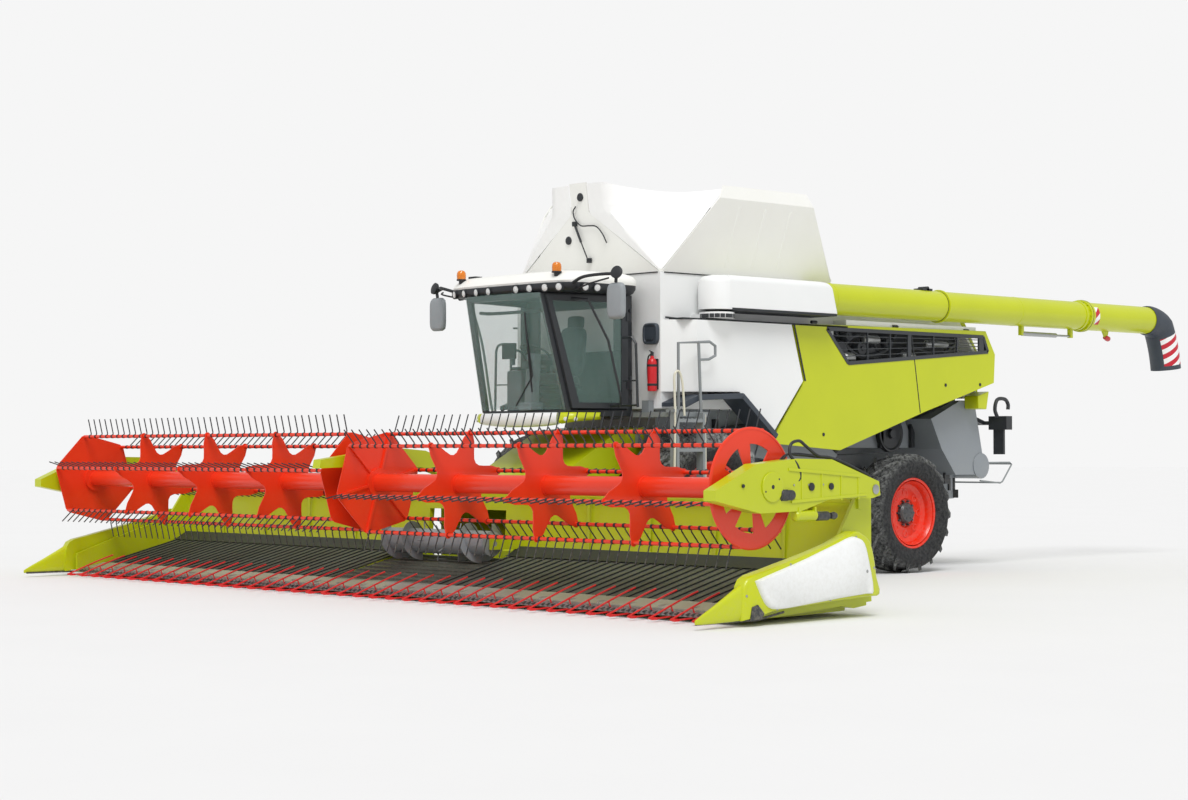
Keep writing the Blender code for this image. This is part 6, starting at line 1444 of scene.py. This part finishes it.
tube(hoses, eased([(6.27, 0.24, 1.315), (6.270, 0.22, 1.42), (6.265, 0.26, 1.56), (6.260, 0.36, 1.66),
                   (6.26, 0.50, 1.655), (6.25, 0.80, 1.636), (6.25, 1.10, 1.60),
                   (6.25, 1.55, 1.445)], 6), 0.011, 8)
tube(hoses, eased([(6.24, 0.24, 1.315), (6.235, 0.20, 1.46), (6.232, 0.30, 1.62), (6.23, 0.46, 1.668),
                   (6.225, 0.80, 1.650), (6.22, 1.10, 1.612),
                   (6.22, 1.55, 1.455)], 6), 0.011, 8)
fit("reel_hoses", hoses, "reel_arms", black_plastic)
pegs = bmesh.new()
for side in (1, -1):
    turned(pegs, [(0, 0.050), (0.010, 0.050), (0.016, 0.030)], (side * 6.360, 1.60, 1.30), (side, 0, 0), 24)
    for k in range(5):
        turned(pegs, [(0, 0.010), (0.008, 0.010)], (side * 6.360, -0.10 + 0.22 * k, 1.36), (side, 0, 0), 12)
fit("reel_arm_pegs", pegs, "reel_arms", bright_steel)

# ---------------------------------------------------------------- reels
# Six tubes carry spring-steel tines, 140 mm apart, between star plates on a centre tube, all in
# orange-red enamel.  Six-sided plates close the reels; the left one ends in a windowed disc.
reel_orange = enamel("orange-red enamel on reel tubes", "red_paint", "#F03A12", "#E0300C", rough=0.36,
                     soil=0.08)
REEL_Z = 1.328
REEL_R = 0.593
REEL_END_X = 6.12
REEL_TURN = {"reel_left": -16, "reel_right": 16}
TINE_GAP = 0.14


def on_reel(reach, angle):
    """A (y, z) spot at a distance from the reel's axis."""
    return reach * math.cos(angle), REEL_Z + reach * math.sin(angle)


def bar_angles(body):
    """The angles at which a reel's six bars stand."""
    return [math.radians(90 + REEL_TURN[body] + 60 * k) for k in range(6)]


def end_hexagon(angles, reach=0.608):
    """A six-sided end plate with its corners cut square to the bars."""
    return [on_reel(reach, angle + math.radians(step)) for angle in angles for step in (-3.4, 3.4)]


def star(angles, waist=0.335, tip_half=0.042):
    """A six-armed plate outline: rounded tips with hollow curves between them."""
    outline = []
    for angle in angles:
        y, z = on_reel(REEL_R, angle)
        for step in (-100, -60, -30, 0, 30, 60, 100):
            a = angle + math.radians(step)
            outline.append((y + tip_half * math.cos(a), z + tip_half * math.sin(a)))
        for step in (9, 15, 22, 30, 38, 45, 51):
            reach = waist + (0.52 - waist) * (abs(step - 30) / 21) ** 2.4
            outline.append(on_reel(reach, angle + math.radians(step)))
    return outline


for side, body, inner in ((1, "reel_left", 0.17), (-1, "reel_right", 0.12)):
    way = (side, 0, 0)
    angles = bar_angles(body)
    span = REEL_END_X - inner
    core = bmesh.new()
    turned(core, [(0, 0.105), (span - 0.02, 0.105)], (side * (inner + 0.01), 0, REEL_Z), way, 40)
    turned(core, [(0, 0.050), (span + 0.056, 0.050)], (side * (inner - 0.028), 0, REEL_Z), way, 24)
    plate_spots = [inner + 0.008 + (span - 0.030) * k / 4 for k in range(5)]
    for x in plate_spots[1:4]:
        side_plate(core, star(angles), side, x, x + 0.012)
        turned(core, [(-0.03, 0.112), (0.04, 0.112)], (side * x, 0, REEL_Z), way, 40)
    side_plate(core, end_hexagon(angles), side, plate_spots[0], plate_spots[0] + 0.010)
    for x in plate_spots[:1] + ([plate_spots[4]] if side < 0 else []):
        turned(core, [(-0.035, 0.170), (0.045, 0.170)], (side * x, 0, REEL_Z), way, 40)
        for angle in angles:
            near, far = on_reel(0.15 * REEL_R, angle), on_reel(0.97 * REEL_R, angle)
            rib_x = side * (x + 0.022)
            strut(core, (rib_x, *near), (rib_x, *far), 0.030, 0.028, (1, 0, 0))
    if side < 0:
        side_plate(core, end_hexagon(angles), side, REEL_END_X - 0.014, REEL_END_X - 0.004)
    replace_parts(fit(body + "_tube_and_stars", core, body, reel_orange, crease=35), body)

    tubes = bmesh.new()
    tines = bmesh.new()
    clips = bmesh.new()
    for angle in angles:
        bar = on_reel(REEL_R, angle)
        turned(tubes, [(0, 0.021), (span - 0.012, 0.021)], (side * (inner + 0.006), *bar), way, 16)
        out_y, out_z = math.cos(angle), math.sin(angle)
        for k in range(1 + int((6.06 - inner - 0.09) / TINE_GAP)):
            x = side * (inner + 0.09 + TINE_GAP * k)
            route = [(x, bar[0] + out * out_y + back * out_z, bar[1] + out * out_z - back * out_y)
                     for out, back in ((0.012, 0.0), (0.035, 0.02), (0.235, 0.03))]
            tube(tines, route, 0.0078, 6)
            turned(clips, [(0, 0.026), (0.03, 0.026)], (x - 0.015, *bar), (1, 0, 0), 10)
    fit(body + "_bars", tubes, body, reel_orange)
    fit(body + "_tines", tines, body, black_steel)
    fit(body + "_tine_clips", clips, body, black_plastic)

DISC_STEPS = 96
DISC_RADII = (0.055, 0.20, 0.44, 0.598)
WINDOW_HALF = 19.0


def in_window(step):
    """Whether the disc is open between two of its spokes at this step round it."""
    here = math.degrees(math.tau * (step + 0.5) / DISC_STEPS) - REEL_TURN["reel_left"]
    return abs(here % 60 - 30) < WINDOW_HALF


disc = bmesh.new()
faces_at = []
for x in (REEL_END_X - 0.020, REEL_END_X - 0.004):
    faces_at.append([[disc.verts.new((x, *on_reel(r, math.tau * j / DISC_STEPS)))
                      for j in range(DISC_STEPS)]
                     for r in DISC_RADII])
inside, outside = faces_at
for j in range(DISC_STEPS):
    after = (j + 1) % DISC_STEPS
    for band in (0, 2) if in_window(j) else (0, 1, 2):
        for rings in faces_at:
            disc.faces.new((rings[band][j], rings[band][after], rings[band + 1][after], rings[band + 1][j]))
    for level in (0, 3, 1, 2) if in_window(j) else (0, 3):
        disc.faces.new((inside[level][j], inside[level][after], outside[level][after], outside[level][j]))
    if in_window(j) != in_window((j - 1) % DISC_STEPS):
        disc.faces.new((inside[1][j], inside[2][j], outside[2][j], outside[1][j]))
turned(disc, [(0, 0.586), (0.010, 0.606), (0.022, 0.606), (0.032, 0.590), (0.032, 0.580), (0, 0.576)],
       (REEL_END_X - 0.032, 0, REEL_Z), (1, 0, 0), 72, loop=True)
fit("reel_left_end_disc", disc, "reel_left", reel_orange, crease=35)
